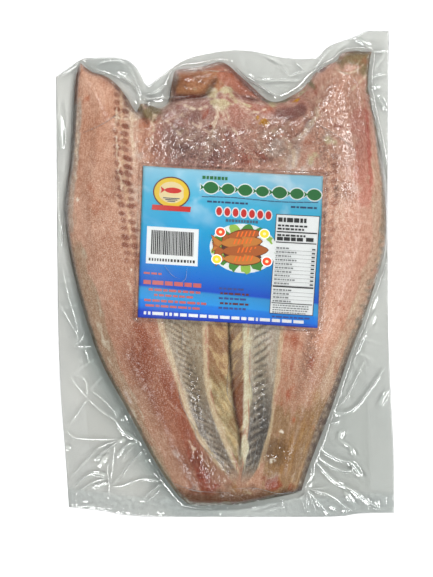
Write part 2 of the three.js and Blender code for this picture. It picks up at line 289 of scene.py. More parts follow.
# narrow furrows in the flesh: line, half width, depth
furrows = [
    ([(-38, 127), (-31, 129.3), (-22, 129.3), (-14.5, 131), (-10.5, 136.5), (-7, 141)], 2.2, 4.2),
    ([(3, 136), (8, 131), (15, 128), (24, 127)], 1.6, 1.6),
    ([(-74, 136), (-68, 127), (-62.5, 118), (-57, 110)], 1.6, 2.2),
    ([(56, 131), (60, 127), (64, 119), (60, 108), (52, 101)], 2.0, 1.0),
    ([(45, 112), (38, 104), (33, 96)], 1.6, 0.7),
]

label = {
    "width": 130.5, "length": 110, "centre": (3.8, 19.6),
    "slope": math.radians(-3.4), "lean": math.radians(-2),
    "gap": 0.35, "thickness": 0.6, "bed": 7, "bedFade": 7,  # no fine relief this near the label
}

fishOutline = np.vstack([evenLine(fish["tail"], 60)[:-1], evenLine(fish["right"], 80)[:-1],
                         evenLine(fish["head"], 160)[::-1][:-1], evenLine(fish["left"], 80)[::-1][:-1]])
bagOutline = np.vstack([evenLine(bag["foot"], 60)[:-1], evenLine(bag["right"], 60)[:-1],
                        evenLine(bag["mouth"], 120)[::-1][:-1], evenLine(bag["left"], 60)[::-1][:-1]])

midlineAt, leftFlankAt, rightFlankAt = (xAlong(fish[k]) for k in ("midline", "left", "right"))
leftOuterAt, leftInnerAt = xAlong(vent["leftOuter"]), xAlong(vent["leftInner"])
rightInnerAt, rightOuterAt = xAlong(vent["rightInner"]), xAlong(vent["rightOuter"])


# 0 on the midline, -1 at the left edge and 1 at the right one
def shareAcross(x, y):
    middle = midlineAt(y)
    left, right = leftFlankAt(y) - middle, rightFlankAt(y) - middle
    return np.where(x < middle, -(x - middle) / left, (x - middle) / right)


# the slow form, as the solid has it: rounded sides, thick back muscle on each flank, thinner belly
def bodyHeight(x, y, depth):
    side = 1 - np.clip(depth / fish["rimWidth"], 0, 1)
    rim = fish["rimHeight"] * np.sqrt(1 - side * side)
    alongBody = fish["tailThinning"] + (1 - fish["tailThinning"]) * smoothStep(y, -165, 20)
    alongBody = alongBody * (1 + (fish["headThinning"] - 1) * smoothStep(y, 95, 165))
    bell = np.exp(-((np.abs(shareAcross(x, y)) - fish["filletCentre"]) / fish["filletSpread"]) ** 2)
    return rim + alongBody * smoothStep(depth, 0, 22) * (fish["bellyRise"] + fish["filletRise"] * bell)


# a place seen from the label's middle, along its width and its length
def labelPlace(x, y):
    dx, dy = x - label["centre"][0], y - label["centre"][1]
    turn = math.cos(label["slope"] - label["lean"])
    return ((dx * math.cos(label["lean"]) + dy * math.sin(label["lean"])) / turn,
            (dy * math.cos(label["slope"]) - dx * math.sin(label["slope"])) / turn)


def awayFromLabel(x, y):
    u, v = labelPlace(x, y)
    beside, beyond = np.abs(u) - label["width"] / 2, np.abs(v) - label["length"] / 2
    return np.hypot(np.maximum(beside, 0), np.maximum(beyond, 0))


# 1 midway between two lines, 0 on them and outside
def between(x, low, high):
    share = (x - low) / (high - low)
    return np.where((share > 0) & (share < 1), np.sin(np.pi * np.clip(share, 0, 1)), 0)


# how far the hollows behind the vent are open
def opened(y):
    closing = smoothStep(y, vent["endY"], vent["endY"] + vent["endFade"])
    return (1 - smoothStep(y, vent["fullY"], vent["startY"])) * closing


# the oblique ends of the muscle blocks rise away from the midline, towards the head
def ridgePhase(x, y):
    pitch = np.where(x < midlineAt(y), *vent["ridgePitch"])
    return (y - vent["ridgeSlope"] * np.abs(x - midlineAt(y)) + 1.5 * lumps(x, y, 12, 21)) / pitch


# cut ribs: two columns of cells on each side, each with its place beside the line and its half width
ribs = {
    "left": [(-76, 140), (-75.5, 112.4), (-74, 75.9), (-70.8, 46.7), (-67.9, 17.5), (-66, -10)],
    "right": [(68, 125), (70.8, 105.1), (74.5, 83.2), (75.2, 54), (71.5, 17.5), (67.9, -19)],
    "leftColumns": ((-3.6, 2.6), (3.0, 3.1)), "rightColumns": ((-2.5, 2.8), (4.2, 2.6)),
    "pitch": 5.8, "halfLength": 2.3, "rise": 0.6, "slope": 0.16, "waver": 1.6, "most": 200,
}


def ribPhase(x, y):
    return (y - ribs["slope"] * np.abs(x) + ribs["waver"] * lumps(x, y, 14, 5)) / ribs["pitch"]


# rounded cells of dark flesh, from 0 between them to 1 in their middle
def ribCells(x, y):
    cells = np.zeros(x.shape)
    rng = np.random.default_rng(31)
    shift = rng.uniform(-1, 1, (4, ribs["most"]))
    phase = ribPhase(x, y) + 60  # counts up from the tail end
    row = np.clip(phase.astype(int), 0, ribs["most"] - 1)
    v = (phase - row - 0.5) * ribs["pitch"]
    for line, ends, strength, columns in (
            (ribs["left"], (-5, 25, 142, 134), 1.0, ribs["leftColumns"]),
            (ribs["right"], (-20, 20, 100, 84), 0.55, ribs["rightColumns"])):
        u = x - xAlong(line)(y)
        here = strength * smoothStep(y, *ends[:2]) * smoothStep(y, *ends[2:])
        for k, (offset, reach) in enumerate(columns):
            wide = reach * (1 + 0.3 * shift[k, row])
            uAway = (u - offset - 0.9 * shift[k + 2, row]) / wide
            vAway = (v - 0.7 * shift[1 - k, row]) / ribs["halfLength"]
            cell = 1 - smoothStep(np.hypot(uAway, vAway), 0.65, 1.15)
            cells = np.maximum(cells, here * cell * (0.75 + 0.25 * shift[k, row]))
    return cells


# what shows on the belly side: hollows, fin strips, slit, rib cells, folds of the belly and uneven flesh
def detailHeight(x, y, depth):
    gape = opened(y)
    left = between(x, leftOuterAt(y), leftInnerAt(y))
    right = between(x, rightInnerAt(y), rightOuterAt(y))
    ridge = np.sin(2 * np.pi * ridgePhase(x, y))
    height = -gape * (left + right) * (vent["depth"] - vent["ridgeHeight"] * ridge)
    middle = midlineAt(y)
    strips = between(x, leftInnerAt(y) + 2, middle) + between(x, middle, rightInnerAt(y) - 2)
    height += gape * vent["stripRise"] * strips
    slit = np.exp(-((x - middle) / vent["slitWidth"]) ** 2)
    height -= vent["slitDepth"] * slit * (1 - smoothStep(y, -30, -10)) * smoothStep(y, -160, -130)
    height += ribs["rise"] * ribCells(x, y)
    belly = smoothStep(y, 72, 90) * np.exp(-((x - 5) / 62) ** 4)
    coarse, fine = fish["bellyFolds"]
    height += belly * (coarse * lumps(x, y, 17, 8) + fine * lumps(x, y * 0.7, 6, 9))
    lobe, _ = nearLine(x, y, np.array(throat["lobe"], float))
    height += throat["lobeRise"] * np.clip(1 - (lobe / throat["lobeRadius"]) ** 2, 0, 1)
    strip, _ = nearLine(x, y, np.array(throat["strip"], float))
    height += throat["stripRise"] * np.clip(1 - (strip / throat["stripRadius"]) ** 2, 0, 1)
    (gx, gy), (reachX, reachY) = throat["gristle"], throat["gristleReach"]
    gristle = np.exp(-((x - gx) / reachX) ** 2 - ((y - gy) / reachY) ** 2)
    height += gristle * (throat["gristleRise"] + throat["gristleLumps"] * lumps(x, y, 5, 14))
    for line, halfWidth, deep in furrows:
        away, place = nearLine(x, y, smoothLine(line, 24))
        ends = np.minimum(1, 5 * np.minimum(place + 0.06, 1.06 - place))
        height -= deep * np.exp(-(away / halfWidth) ** 2) * ends
    coarse, fine = fish["unevenness"]
    flesh = coarse * lumps(x, y * 0.5, 11, 3) + fine * lumps(x, y * 0.4, 3.6, 4)
    return height + flesh * smoothStep(depth, 0, 6)


def fishTop(x, y, depth):
    bare = smoothStep(awayFromLabel(x, y), label["bed"], label["bed"] + label["bedFade"])
    detail = bare * smoothStep(depth, 0, 5) * detailHeight(x, y, depth)
    return np.where(depth > 0, np.maximum(bodyHeight(x, y, depth) + detail, fish["rest"]), fish["rest"])


fishColumns, fishRows = 250, 344
fx, fy = edgeGrid(fish["left"], fish["right"], fish["tail"], fish["head"],
                  fishColumns, fishRows, pull=5, crowd=0.2)
fDepth = depthInside(fx, fy, fishOutline)
gridEdges = np.s_[0, :], np.s_[-1, :], np.s_[:, 0], np.s_[:, -1]
for edge in gridEdges:
    fDepth[edge] = 0
fz = fishTop(fx, fy, fDepth)
fishPoints = np.stack([fx.ravel(), fy.ravel(), fz.ravel()], 1)
fishFaces = gridFaces(fishRows, fishColumns) + [gridBorder(fishRows, fishColumns)[::-1]]
print("fish relief:", len(fishPoints), "points")

# Stains and patches in the flesh: x, y, half width, half length, turn in degrees, strength
stains = {
    "rust": [(-101.2, 126, 4.5, 9, 0, .42), (-101.8, 116, 4, 9, 0, .35), (-102, 106, 2, 8, 0, .25),
             (-98, 58, 5, 20, 0, .3), (-88, 132, 14, 7, 0, .3), (33, 121, 6, 4, 0, .4),
             (60, 97, 7, 4, 30, .6), (68, 60, 5, 16, 0, .45), (38, 99, 6, 4, 0, .5),
             (-58, 108, 7, 10, 0, .5), (49, -92, 6, 22, 0, .45), (84, -30, 6, 20, 15, .3),
             (45.8, 127.8, 1.8, 1.6, 0, 1), (30, 118, 4, 5, 0, .4), (22, 99, 6, 3, -10, .5)],
    "blood": [(-16, -146, 5, 10, 35, .9), (-10, -156, 7, 4, 30, .8), (-24, -134, 4, 12, 28, .6),
              (36, -153.5, 5, 3.4, 20, 1), (46, -155, 6, 3, 0, .6), (42, -98, 5, 10, -10, .4),
              (48, -72, 5, 13, -12, .45), (46, -88, 6, 9, -10, .4), (52, -45, 8, 12, -8, .4),
              (62, -66, 4, 16, -14, .5), (84, 60, 9, 4, 30, .5), (76.5, 52, 4, 7, 0, .5),
              (82, 107, 8, 2.4, -10, .7), (84, 120, 12, 3, 20, .35), (15, 84, 6, 6, 0, .7),
              (24, 88, 8, 2.4, -30, .7), (12, 92, 2, 8, 30, .6), (-14, 116, 4, 5, 0, .6),
              (66, 134, 4, 6, -35, .4), (18, 136, 12, 3, -40, .55), (-2, 149, 5, 4, 0, .4),
              (20, 121, 6, 5, 0, .5), (-2, -166, 8, 2.2, 0, .8), (-27.5, 129.6, 9, 1.6, 0, .9)],
    "garnet": [(35, -153, 6.4, 4.6, 10, 1), (29, -149, 3, 3, 0, .5), (-12, -158, 9, 4, 25, .5),
               (-20, -146, 4, 9, 32, .45), (-27, 129.8, 9, 1.6, 0, .8), (-11, 107, 2, 3.2, -20, .6),
               (46, -157, 5, 2.4, 0, .5), (70, 146, 2.4, 4, -35, .3)],
    "plum": [(-27, 114, 15, 8, 0, .6), (-18, 98, 14, 9, 0, .5), (-38, 106, 8, 9, 0, .45),
             (-11, 106, 2.4, 3.4, -20, .9), (49, 117, 13, 6.5, 0, 1), (58, 110, 6, 7, 0, .8),
             (70, 149, 4, 2.6, 30, .7), (52, 103, 7, 4, 0, .5), (30, 82, 9, 5, 0, .4),
             (-32, 92, 10, 5, 0, .5), (-33, 123, 5, 2, 0, .5), (-14, 80, 10, 5, 0, .5)],
    "silver": [(38, 93, 8, 7, 0, .9), (50, 86, 6, 16, -8, .8), (57, 102, 5, 12, -25, .7),
               (60, 78, 8, 8, 0, .6), (-46, 86, 7, 7, 0, .5), (-57, 80, 8, 8, 0, .5),
               (-62, 84, 4, 8, 0, .5), (-38, 100, 16, 6, 30, .3), (72, 100, 7, 4, 20, .5),
               (-66, 60, 4, 18, 0, .5), (70, 76, 4, 18, 0, .5), (70, 45, 4, 18, 0, .4),
               (-62, 20, 5, 20, 0, .3), (-71.5, -88, 1.8, 7, 30, .8), (-66, -104, 2, 9, 30, .4),
               (-36, -131, 3, 5, 30, .6), (64, -82, 3, 4, 20, .5), (12, 100, 10, 9, 0, .25)],
    "cream": [(-2, 124, 9, 4, 0, 1), (-10, 132, 5, 4.6, 0, .85), (1, 134, 5, 4, 0, .8),
              (6, 128, 7, 3.4, -20, .9), (15, 123.5, 6, 2, -18, .8), (-28, 134.4, 9, 1.8, 0, .5),
              (-36, 142, 2.6, 7, 0, .5), (-60, 122.5, 3, 3, 0, .7), (35, 124.5, 2.4, 2.6, 20, .8),
              (54, 131, 5, 1.4, 35, .8), (16, -158, 5, 4, 0, .4), (78, 96, 5, 3, 0, .5),
              (64, 84, 5, 4, 0, .35), (-85, 140, 3, 5, -50, .6)],
    "yellow": [(28, 110.8, 4.2, 2.8, 0, 1), (25, 114, 3, 2, 0, .6), (52, 127, 4, 1.2, 12, .7),
               (58, 134, 3, 1, 45, .7)],
    "olive": [(-53, 118, 8, 7, 0, .9), (-60, 120, 4, 5, 0, .6), (-47, 112, 5, 5, 0, .4),
              (-31, 104, 2.5, 3, 0, .5), (98, 157, 14, 8, 0, 1), (100, 148, 10, 6, 20, .8),
              (106, 144, 3.4, 14, -4, 1), (84, 154, 5, 6, 40, .6), (-105, 151, 3, 5, 0, .5),
              (46, 128, 9, 2, 10, .8), (62, 140, 2, 9, 38, .7)],
    "rose": [(98, 155, 7, 5, 0, .45), (50, -35, 11, 36, -10, .5), (58, -70, 8, 22, -15, .4),
             (-27, 141, 9, 4, 10, .5), (8, 142, 9, 5, -35, .7)],
    "amber": [(44, -132, 12, 22, -20, .8), (60, -112, 9, 24, -20, .6), (10, -158, 14, 6, -20, .6),
              (-14, -139, 6, 5, -40, .6), (-22, -122, 4, 8, -30, .4), (66, -88, 6, 14, -15, .5),
              (60, 84, 8, 6, 0, .3)],
    "frost": [(-107.3, 54, 1.6, 2.2, 0, 1), (-68.6, 3, 2.2, 2.4, 0, 1), (34.5, -136, 3.4, 2.4, 0, 1),
              (41, -115, 2.4, 2.0, 0, .8), (-101, 30, 1.2, 1.5, 0, .5), (61, -100, 2.2, 2.6, 0, .5),
              (56, -152, 3, 2.4, 0, .5)],
}

# pale tissue that runs in lines, and two painted highlights of the film: line, half width, strength
whiteLines = [
    ([(-67.2, 117), (-67.4, 106), (-67, 92)], 1.2, 1.0), ([(-67, 92), (-65.5, 82), (-65, 76)], 0.9, .6),
    ([(-79.2, 122), (-78.8, 105), (-77.5, 85), (-75, 60)], 0.4, .75),
    ([(-51.8, 116), (-52, 110), (-51.4, 103)], 1.0, .8), ([(-51.4, 103), (-53, 96), (-54, 88)], 0.6, .5),
    ([(-80, 113.4), (-72, 112.8), (-64, 113)], 0.6, .85),
    # the first line here, along the fish's left edge, is a painted highlight of the film at the fish's edge
    ([(-107.8, 121), (-108, 95), (-109, 70)], 0.5, .55), ([(-71, -4), (-66, -16), (-60, -30)], 0.5, .4),
    ([(-40, 123), (-28, 113), (-14, 104), (-2, 92)], 0.5, .5),
    ([(-44, 112), (-30, 100), (-20, 92)], 0.5, .5), ([(-44, 116), (-52, 106), (-60, 96)], 0.4, .4),
    ([(0, 121), (6, 106), (14, 92), (18, 84)], 0.6, .6), ([(-5, 121), (-6, 112), (-9, 104)], 1.6, .9),
    ([(-3, 120), (2, 110), (8, 102)], 1.0, .7), ([(-13, 122), (-22, 120), (-32, 124)], 0.8, .6),
    ([(12, 122), (22, 118), (30, 120)], 0.8, .6), ([(36, 102), (44, 98), (50, 88), (50, 76)], 1.4, .7),
    ([(68, 128), (67, 116), (60, 106), (52, 98)], 1.4, .75), ([(44, 100), (46, 88), (40, 78)], 0.9, .5),
    ([(100, 152), (93, 147), (86, 146), (80, 150)], 0.6, .7), ([(104, 146), (98, 140), (92, 134)], 0.6, .6),
    # the second line here, across the throat lobe, is a painted highlight of a crease in the film
    ([(84, 149), (76, 142), (70, 134)], 0.5, .5), ([(-28, 147.5), (-10, 147), (2, 149)], 0.4, .5),
    ([(-27.5, -119), (-12, -140), (6, -158), (13, -166)], 0.9, .45),
    ([(-10, -128), (0, -139), (9, -150)], 0.6, .4),
]

# where small white specks lie thick, partly salt and ice and partly painted glints of the film, in the same
# terms as the stains
speckAndGlintPlaces = [
    (86, 108, 20, 36, 0, 1), (20, 100, 46, 24, 0, .7), (40, -120, 24, 46, 0, .7),
    (-40, -90, 16, 60, 25, .5), (0, -140, 40, 24, 0, .6),
]

# lines that part the zones of colour, from the head end to the tail end
zoneLine = {
    "leftBand": [(-108, 100), (-108.8, 54), (-101.5, 8.8), (-94.9, -9.5), (-90.5, -24.8), (-82.5, -51.8),
                 (-70.8, -81), (-54.8, -117.5), (-40, -145)],
    "rightBand": [(102.9, 140), (106.2, 120.5), (108, 64.2), (106.2, 22), (97.8, -2.2), (92, -24.5),
                  (80.2, -52.4), (70.1, -77.4), (59.1, -110.2), (50, -140)],
    "rightSkin": [(105.1, 130.7), (108.8, 105.1), (113.1, 75.9), (114.5, 59.1), (111.7, 22), (106.2, 3.6),
                  (97.8, -24.5), (88.5, -52.4), (77.4, -85.4), (67.2, -108.8), (55.9, -146), (52, -160)],
    "leftRed": [(-64, -20), (-62, -55.5), (-50, -81), (-37, -110.2), (-18.2, -150)],
    "rightRed": [(101.2, 134.3), (103.4, 112.4), (105.4, 83.2), (106.2, 57.7), (103, 35)],
}


# soft oval patches, the strongest one counting
def stainField(x, y, spots):
    total = np.zeros(x.shape)
    for cx, cy, rx, ry, turn, strength in spots:
        a = math.radians(turn)
        u = ((x - cx) * math.cos(a) + (y - cy) * math.sin(a)) / rx
        v = ((y - cy) * math.cos(a) - (x - cx) * math.sin(a)) / ry
        total = np.maximum(total, strength * np.exp(-(u * u + v * v) ** 1.3))
    return total


# how the fibres lie: first coordinate across them, second along them, both in mm
def grainField(x, y):
    across, along = shareAcross(x, y) * 95, y * 1.0
    slant = np.where(x < midlineAt(y), 1, -1) * vent["grainSlope"]
    inStrips = (opened(y) > 0.2) & (x > leftInnerAt(y) + 1) & (x < rightInnerAt(y) - 1)
    across = np.where(inStrips, (x * slant + y) / math.hypot(1, vent["grainSlope"]), across)
    along = np.where(inStrips, (x - y * slant) / math.hypot(1, vent["grainSlope"]), along)
    gx, gy = throat["gristle"]  # membranes of the belly fan out from the gristle
    reach = np.hypot(x - gx, y - gy - 6)
    inBelly = (y > 72 + 10 * lumps(x, y, 9, 6)) & (np.abs(x - 4) < 58) & (y < 134)
    across = np.where(inBelly, np.arctan2(x - gx, gy + 6 - y) * 34, across)
    along = np.where(inBelly, reach, along)
    inThroat = (y >= 134) & (np.abs(x) < 45)
    across, along = np.where(inThroat, y + 0.3 * x, across), np.where(inThroat, x - 0.3 * y, along)
    return np.stack([across, along, np.zeros_like(across)], -1)


def blend(tone, mask, code, strength=1.0):
    share = np.clip(mask * strength, 0, 1)[..., None]
    return tone + (np.array(hexColour(code)[:3]) - tone) * share


fleshTune = {
    "ground": "#cfa089", "middling": "#b08a72", "contrast": 1.25,
    "gain": (0.86, 0.9, 0.88),  # what the fine grain, the coats and the film over them take away
}


# the colour of the flesh at every point, laid on in coats from the pale muscle to the skin
def fleshTone(x, y, depth, grain):
    isLeft = x < midlineAt(y)
    share, gape = shareAcross(x, y), opened(y)
    at = {name: x - xAlong(line)(y) for name, line in zoneLine.items()}
    across, along = grain[..., 0], grain[..., 1]
    rough = {"cloud": lumps(x, y, 18, 71), "mottle": lumps(x, y, 6, 72), "grit": lumps(x, y, 2.6, 73, 2),
             "streak": lumps(across, along * 0.2, 2.6, 74), "band": lumps(across, along * 0.1, 6, 75),
             "speck": lumps(x, y, 1.5, 76, 1)}
    rough = {name: field / field.std() for name, field in rough.items()}
    # pale tissue between the muscle fibres: a net of thin lines, drawn out along the fibres
    net = [lumps(across + 9 * k, along * 0.45, size, 77 + k, 2) for k, size in enumerate((9, 5, 13))]
    net = [np.clip(1 - np.abs(field) * 7, 0, 1) for field in net]

    def ragged(field, noise, amount, low=0.3, high=0.8):
        return smoothStep(field + amount * rough[noise], low, high) * (field > 0.03)

    spots = {name: stainField(x, y, places) for name, places in stains.items()}
    lobePink = (~isLeft) * smoothStep(share, 0.25, 0.6) * smoothStep(y, -75, 30)
    tailward = smoothStep(y, -10, -110)
    redWidth = 11 + 3 * smoothStep(y, -140, -60)
    redBand = np.exp(-((at["leftRed"] - 2) / redWidth) ** 4) * smoothStep(y, 25, -70)
    leftBand = isLeft * smoothStep(-at["leftBand"], -4, 2) * smoothStep(y, 60, 0)
    leftEdge = isLeft * (1 - smoothStep(depth, 5, 8.5)) * smoothStep(y, 20, 40) * smoothStep(y, 138, 118)
    rightBand = (~isLeft) * smoothStep(at["rightBand"], -4, 3) * smoothStep(y, 125, 60)
    golden = (~isLeft) * smoothStep(y, -78, -112) * smoothStep(x, 24, 34)
    belly = smoothStep(y, 66, 84) * np.exp(-((x - 4) / 60) ** 6) * smoothStep(depth, 0, 4)
    mauve = belly * np.exp(-((x + 26) / 26) ** 4)
    tone = np.zeros(x.shape + (3,)) + np.array(hexColour(fleshTune["ground"])[:3])
    # the left side is drawn darker, less so towards the head: partly its own tone, partly painted shade for
    # light that comes from the right
    tone *= np.where(isLeft, 0.84 + 0.14 * smoothStep(y, 20, 110), 1)[..., None]
    for mask, code, strength in (
            (smoothStep(rough["cloud"], -1, 2), "#dab09c", 0.6),
            (smoothStep(-rough["cloud"], 0, 2), "#c48f76", 0.5),
            (ragged(lobePink, "cloud", 0.08, 0.1, 0.8), "#cda08e", 0.85),
            (ragged(tailward, "cloud", 0.12, 0.2, 0.9), "#b48b74", 0.8),
            (redBand * (0.9 + 0.12 * rough["band"]), "#985a42", 0.9),
            (redBand * smoothStep(rough["band"], 0, 2), "#965840", 0.4),
            (redBand * net[0], "#c08a70", 0.25),
            (ragged(leftBand, "streak", 0.16), "#ad937c", 0.75),
            (leftBand * smoothStep(rough["streak"], 0.7, 1.7), "#d3c6b6", 0.6),
            (ragged(leftEdge, "grit", 0.1), "#bdada2", 0.75),
            (leftEdge * smoothStep(rough["streak"], 0.5, 1.5), "#dccfc4", 0.6),
            (ragged(rightBand, "streak", 0.16), "#bd9f8a", 0.75),
            (rightBand * smoothStep(rough["streak"], 0.5, 1.5), "#d6bda6", 0.55),
            (ragged(golden, "band", 0.15), "#9a7a58", 0.8),
            (golden * smoothStep(rough["streak"], 0.4, 1.5), "#c4a684", 0.55),
            (ragged(belly, "mottle", 0.1), "#b38074", 0.8),
            (ragged(mauve, "cloud", 0.1), "#a3847c", 0.7),
            (belly * smoothStep(-rough["mottle"], 0.2, 1.5), "#9c655a", 0.6),
            (belly * smoothStep(rough["cloud"], 0.2, 1.4), "#bc9c90", 0.5),
            (belly * smoothStep(x, 5, 25) * smoothStep(y, 118, 104), "#cba08c", 0.7),
            (belly * net[1], "#ceb0a2", 0.45),
            (belly * net[2], "#d4baaa", 0.5),
            ((1 - belly) * net[0], "#d8b6a2", 0.2),
            ((1 - belly) * (~isLeft) * smoothStep(y, -60, 20) * net[1], "#e2c4b6", 0.3),
            ((1 - belly) * smoothStep(-rough["mottle"], 0.8, 2) * smoothStep(rough["band"], -1, 1),
             "#a86a50", 0.35)):
        tone = blend(tone, mask, code, strength)
    lobe, _ = nearLine(x, y, np.array(throat["lobe"], float))
    strip, _ = nearLine(x, y, np.array(throat["strip"], float))
    onStrip = (1 - smoothStep(strip, 6, 10)) * smoothStep(y, 124, 132)
    for mask, code, strength in (
            ((1 - smoothStep(lobe, 11, 14)) * (y > 128), "#b67f5c", 0.9),
            ((1 - smoothStep(lobe, 9.5, 12)) * smoothStep(y, 144, 136) * smoothStep(x, -2, -10),
             "#c28c66", 0.8),
            ((1 - smoothStep(lobe, 10, 13)) * smoothStep(y, 145, 150), "#ac7058", 0.7),
            (ragged(onStrip, "mottle", 0.1), "#b87a64", 0.85)):
        tone = blend(tone, mask, code, strength)
    for name, noise, amount, code, strength in (
            ("plum", "mottle", 0.16, "#86594f", 0.75),
            ("rust", "mottle", 0.14, "#b4623c", 0.8),
            ("blood", "streak", 0.18, "#a65a42", 0.6),
            ("garnet", "mottle", 0.2, "#964c36", 0.7),
            ("amber", "streak", 0.12, "#a67a45", 0.6),
            ("silver", "mottle", 0.15, "#cdb9b1", 0.8),
            ("olive", "mottle", 0.12, "#95805f", 0.9),
            ("rose", "mottle", 0.12, "#b06a4e", 0.8)):
        tone = blend(tone, ragged(spots[name], noise, amount), code, strength)
    redLine = np.exp(-(at["rightRed"] / 1.6) ** 2) * smoothStep(y, 45, 70) * smoothStep(y, 132, 112)
    tone = blend(tone, ragged(redLine, "grit", 0.2), "#bb6352", 0.7)
    redGlow = np.exp(-((at["rightRed"] + 5) / 7) ** 2) * smoothStep(y, 30, 70) * smoothStep(y, 138, 112)
    tone = blend(tone, ragged(redGlow, "mottle", 0.2), "#c4786a", 0.45)

    cells = ribCells(x, y)
    for line, ends, strength in (
            (ribs["left"], (-5, 35, 142, 132), 1.0),
            (ribs["right"], (-20, 20, 104, 84), 0.45)):
        u = x - xAlong(line)(y)
        here = smoothStep(y, *ends[:2]) * smoothStep(y, *ends[2:]) * strength
        bed = np.exp(-((u - 1) / 9) ** 4) * smoothStep(rough["mottle"], -2, 1)
        cord = np.exp(-((u - 0.3 - 0.5 * rough["mottle"]) / 0.7) ** 2)
        pale = np.exp(-((u - 9 - rough["grit"]) / 3.2) ** 2)
        lace = np.maximum(net[1], 0.8 * net[0]) * (0.6 + 0.4 * smoothStep(rough["mottle"], -1, 1))
        tone = blend(tone, here * bed, "#c8a18c", 0.6)
        tone = blend(tone, here * cord, "#dcbfa4", 0.7)
        tone = blend(tone, here * pale, "#d8bdb2", 0.35)
        tone = blend(tone, here * np.exp(-((u - 8.5) / 6) ** 4) * lace, "#dcc4b6", 0.75)
    tone = blend(tone, cells, "#8c5440", 0.9)

    # membranes of the two hollows, with oblique arcs: the dark arcs are painted shade where the film sinks
    # in, the pale lines between them painted light on the ridges
    left = between(x, leftOuterAt(y), leftInnerAt(y))
    right = between(x, rightInnerAt(y), rightOuterAt(y))
    hollow = gape * smoothStep(left + right, 0.02, 0.3)
    outerPart = gape * right * smoothStep(x - rightInnerAt(y), 10, 17)
    # painted shade at the deep, tailward ends of the hollows
    deepEndShade = hollow * smoothStep(y + 4 * rough["cloud"], -75, -112)
    phase = (ridgePhase(x, y) + 0.07 * rough["mottle"]) % 1.0
    inside = np.where(isLeft, x - leftOuterAt(y), x - rightInnerAt(y))
    width = np.where(isLeft, leftInnerAt(y) - leftOuterAt(y), rightOuterAt(y) - rightInnerAt(y))
    place = inside / width
    arcs = gape * smoothStep(place, 0.12, 0.24) * smoothStep(place, 0.78, 0.5) * (left + right > 0)
    arcs = arcs * smoothStep(rough["mottle"], -2.2, 0) * (1 - 0.4 * deepEndShade * (~isLeft))
    fins = gape * smoothStep(x - leftInnerAt(y), 1.5, 3) * smoothStep(rightInnerAt(y) - x, 1.5, 3)
    slit = np.exp(-((x - midlineAt(y)) / 1.1) ** 2) * gape * (0.45 + 0.55 * smoothStep(y, -85, -60))
    for mask, code, strength in (
            (hollow, "#a3907a", 0.95),
            (hollow * (~isLeft), "#b5a796", 0.9),
            (outerPart, "#bda99c", 0.7),
            (deepEndShade, "#83736a", 0.75),
            (deepEndShade * (~isLeft), "#665750", 0.65),
            # painted shade in the dark arcs, painted light in the pale lines between them
            (arcs * np.exp(-((phase - 0.5) / 0.17) ** 2), "#5c4539", 0.66),
            (arcs * np.exp(-((np.abs(phase - 0.5) - 0.5) / 0.2) ** 2), "#c9b8a6", 0.5),
            (hollow * net[1], "#d8ccc0", 0.25),
            (fins * isLeft, "#a27c5e", 0.95),
            (fins * isLeft * smoothStep(y + 4 * rough["mottle"], -62, -80), "#ab9876", 0.85),
            (fins * (~isLeft), "#9a806a", 0.95),
            (fins * (~isLeft) * smoothStep(y, -62, -92), "#8a5640", 0.75),
            (fins * smoothStep(rough["streak"], 0.2, 1.2), "#d6bb90", 0.5),
            (fins * smoothStep(-rough["streak"], 0.4, 1.5), "#86552f", 0.5)):
        tone = blend(tone, mask, code, strength)
    for line, shift, halfWidth, strength, code in (
            (leftInnerAt, 0, 2.0, 0.9, "#ccb89c"), (rightInnerAt, -1.6, 2.3, 0.95, "#cec4ac"),
            (leftOuterAt, 0, 2.2, 0.8, "#ccb89c"), (rightOuterAt, 0, 1.4, 0.6, "#ccb89c")):
        edge = gape * np.exp(-(np.abs(x - line(y) - shift - 0.5 * rough["streak"]) / halfWidth) ** 3)
        tone = blend(tone, ragged(edge, "streak", 0.25, 0.15, 0.85), code, strength)
    # painted shade: the slit is drawn dark in its cut
    tone = blend(tone, slit, "#4c3326", 0.9)

    tone = blend(tone, ragged(spots["cream"], "mottle", 0.25), "#cfbf9e", 0.85)
    white = np.zeros(x.shape)
    for line, halfWidth, strength in whiteLines:
        away, _ = nearLine(x + 0.5 * rough["mottle"], y, smoothLine(line, 24))
        white = np.maximum(white, strength * np.exp(-(away / (halfWidth + 0.4)) ** 2))
    tone = blend(tone, ragged(white, "grit", 0.2, 0.2, 0.9), "#e6d0bc", 0.8)
    tone = blend(tone, ragged(spots["yellow"], "grit", 0.25), "#c08a10", 0.95)
    # painted shade in the furrows, darker where they are deeper
    furrowShade = np.zeros(x.shape)
    for line, halfWidth, deep in furrows:
        away, _ = nearLine(x, y, smoothLine(line, 24))
        furrowShade = np.maximum(furrowShade, min(1, deep / 3) * np.exp(-(away / halfWidth) ** 2))
    tone = blend(tone, furrowShade, "#6b4434", 0.6)
    tone = blend(tone, smoothStep(y + 1.5 * rough["mottle"], -152, -163), "#74543e", 0.85)

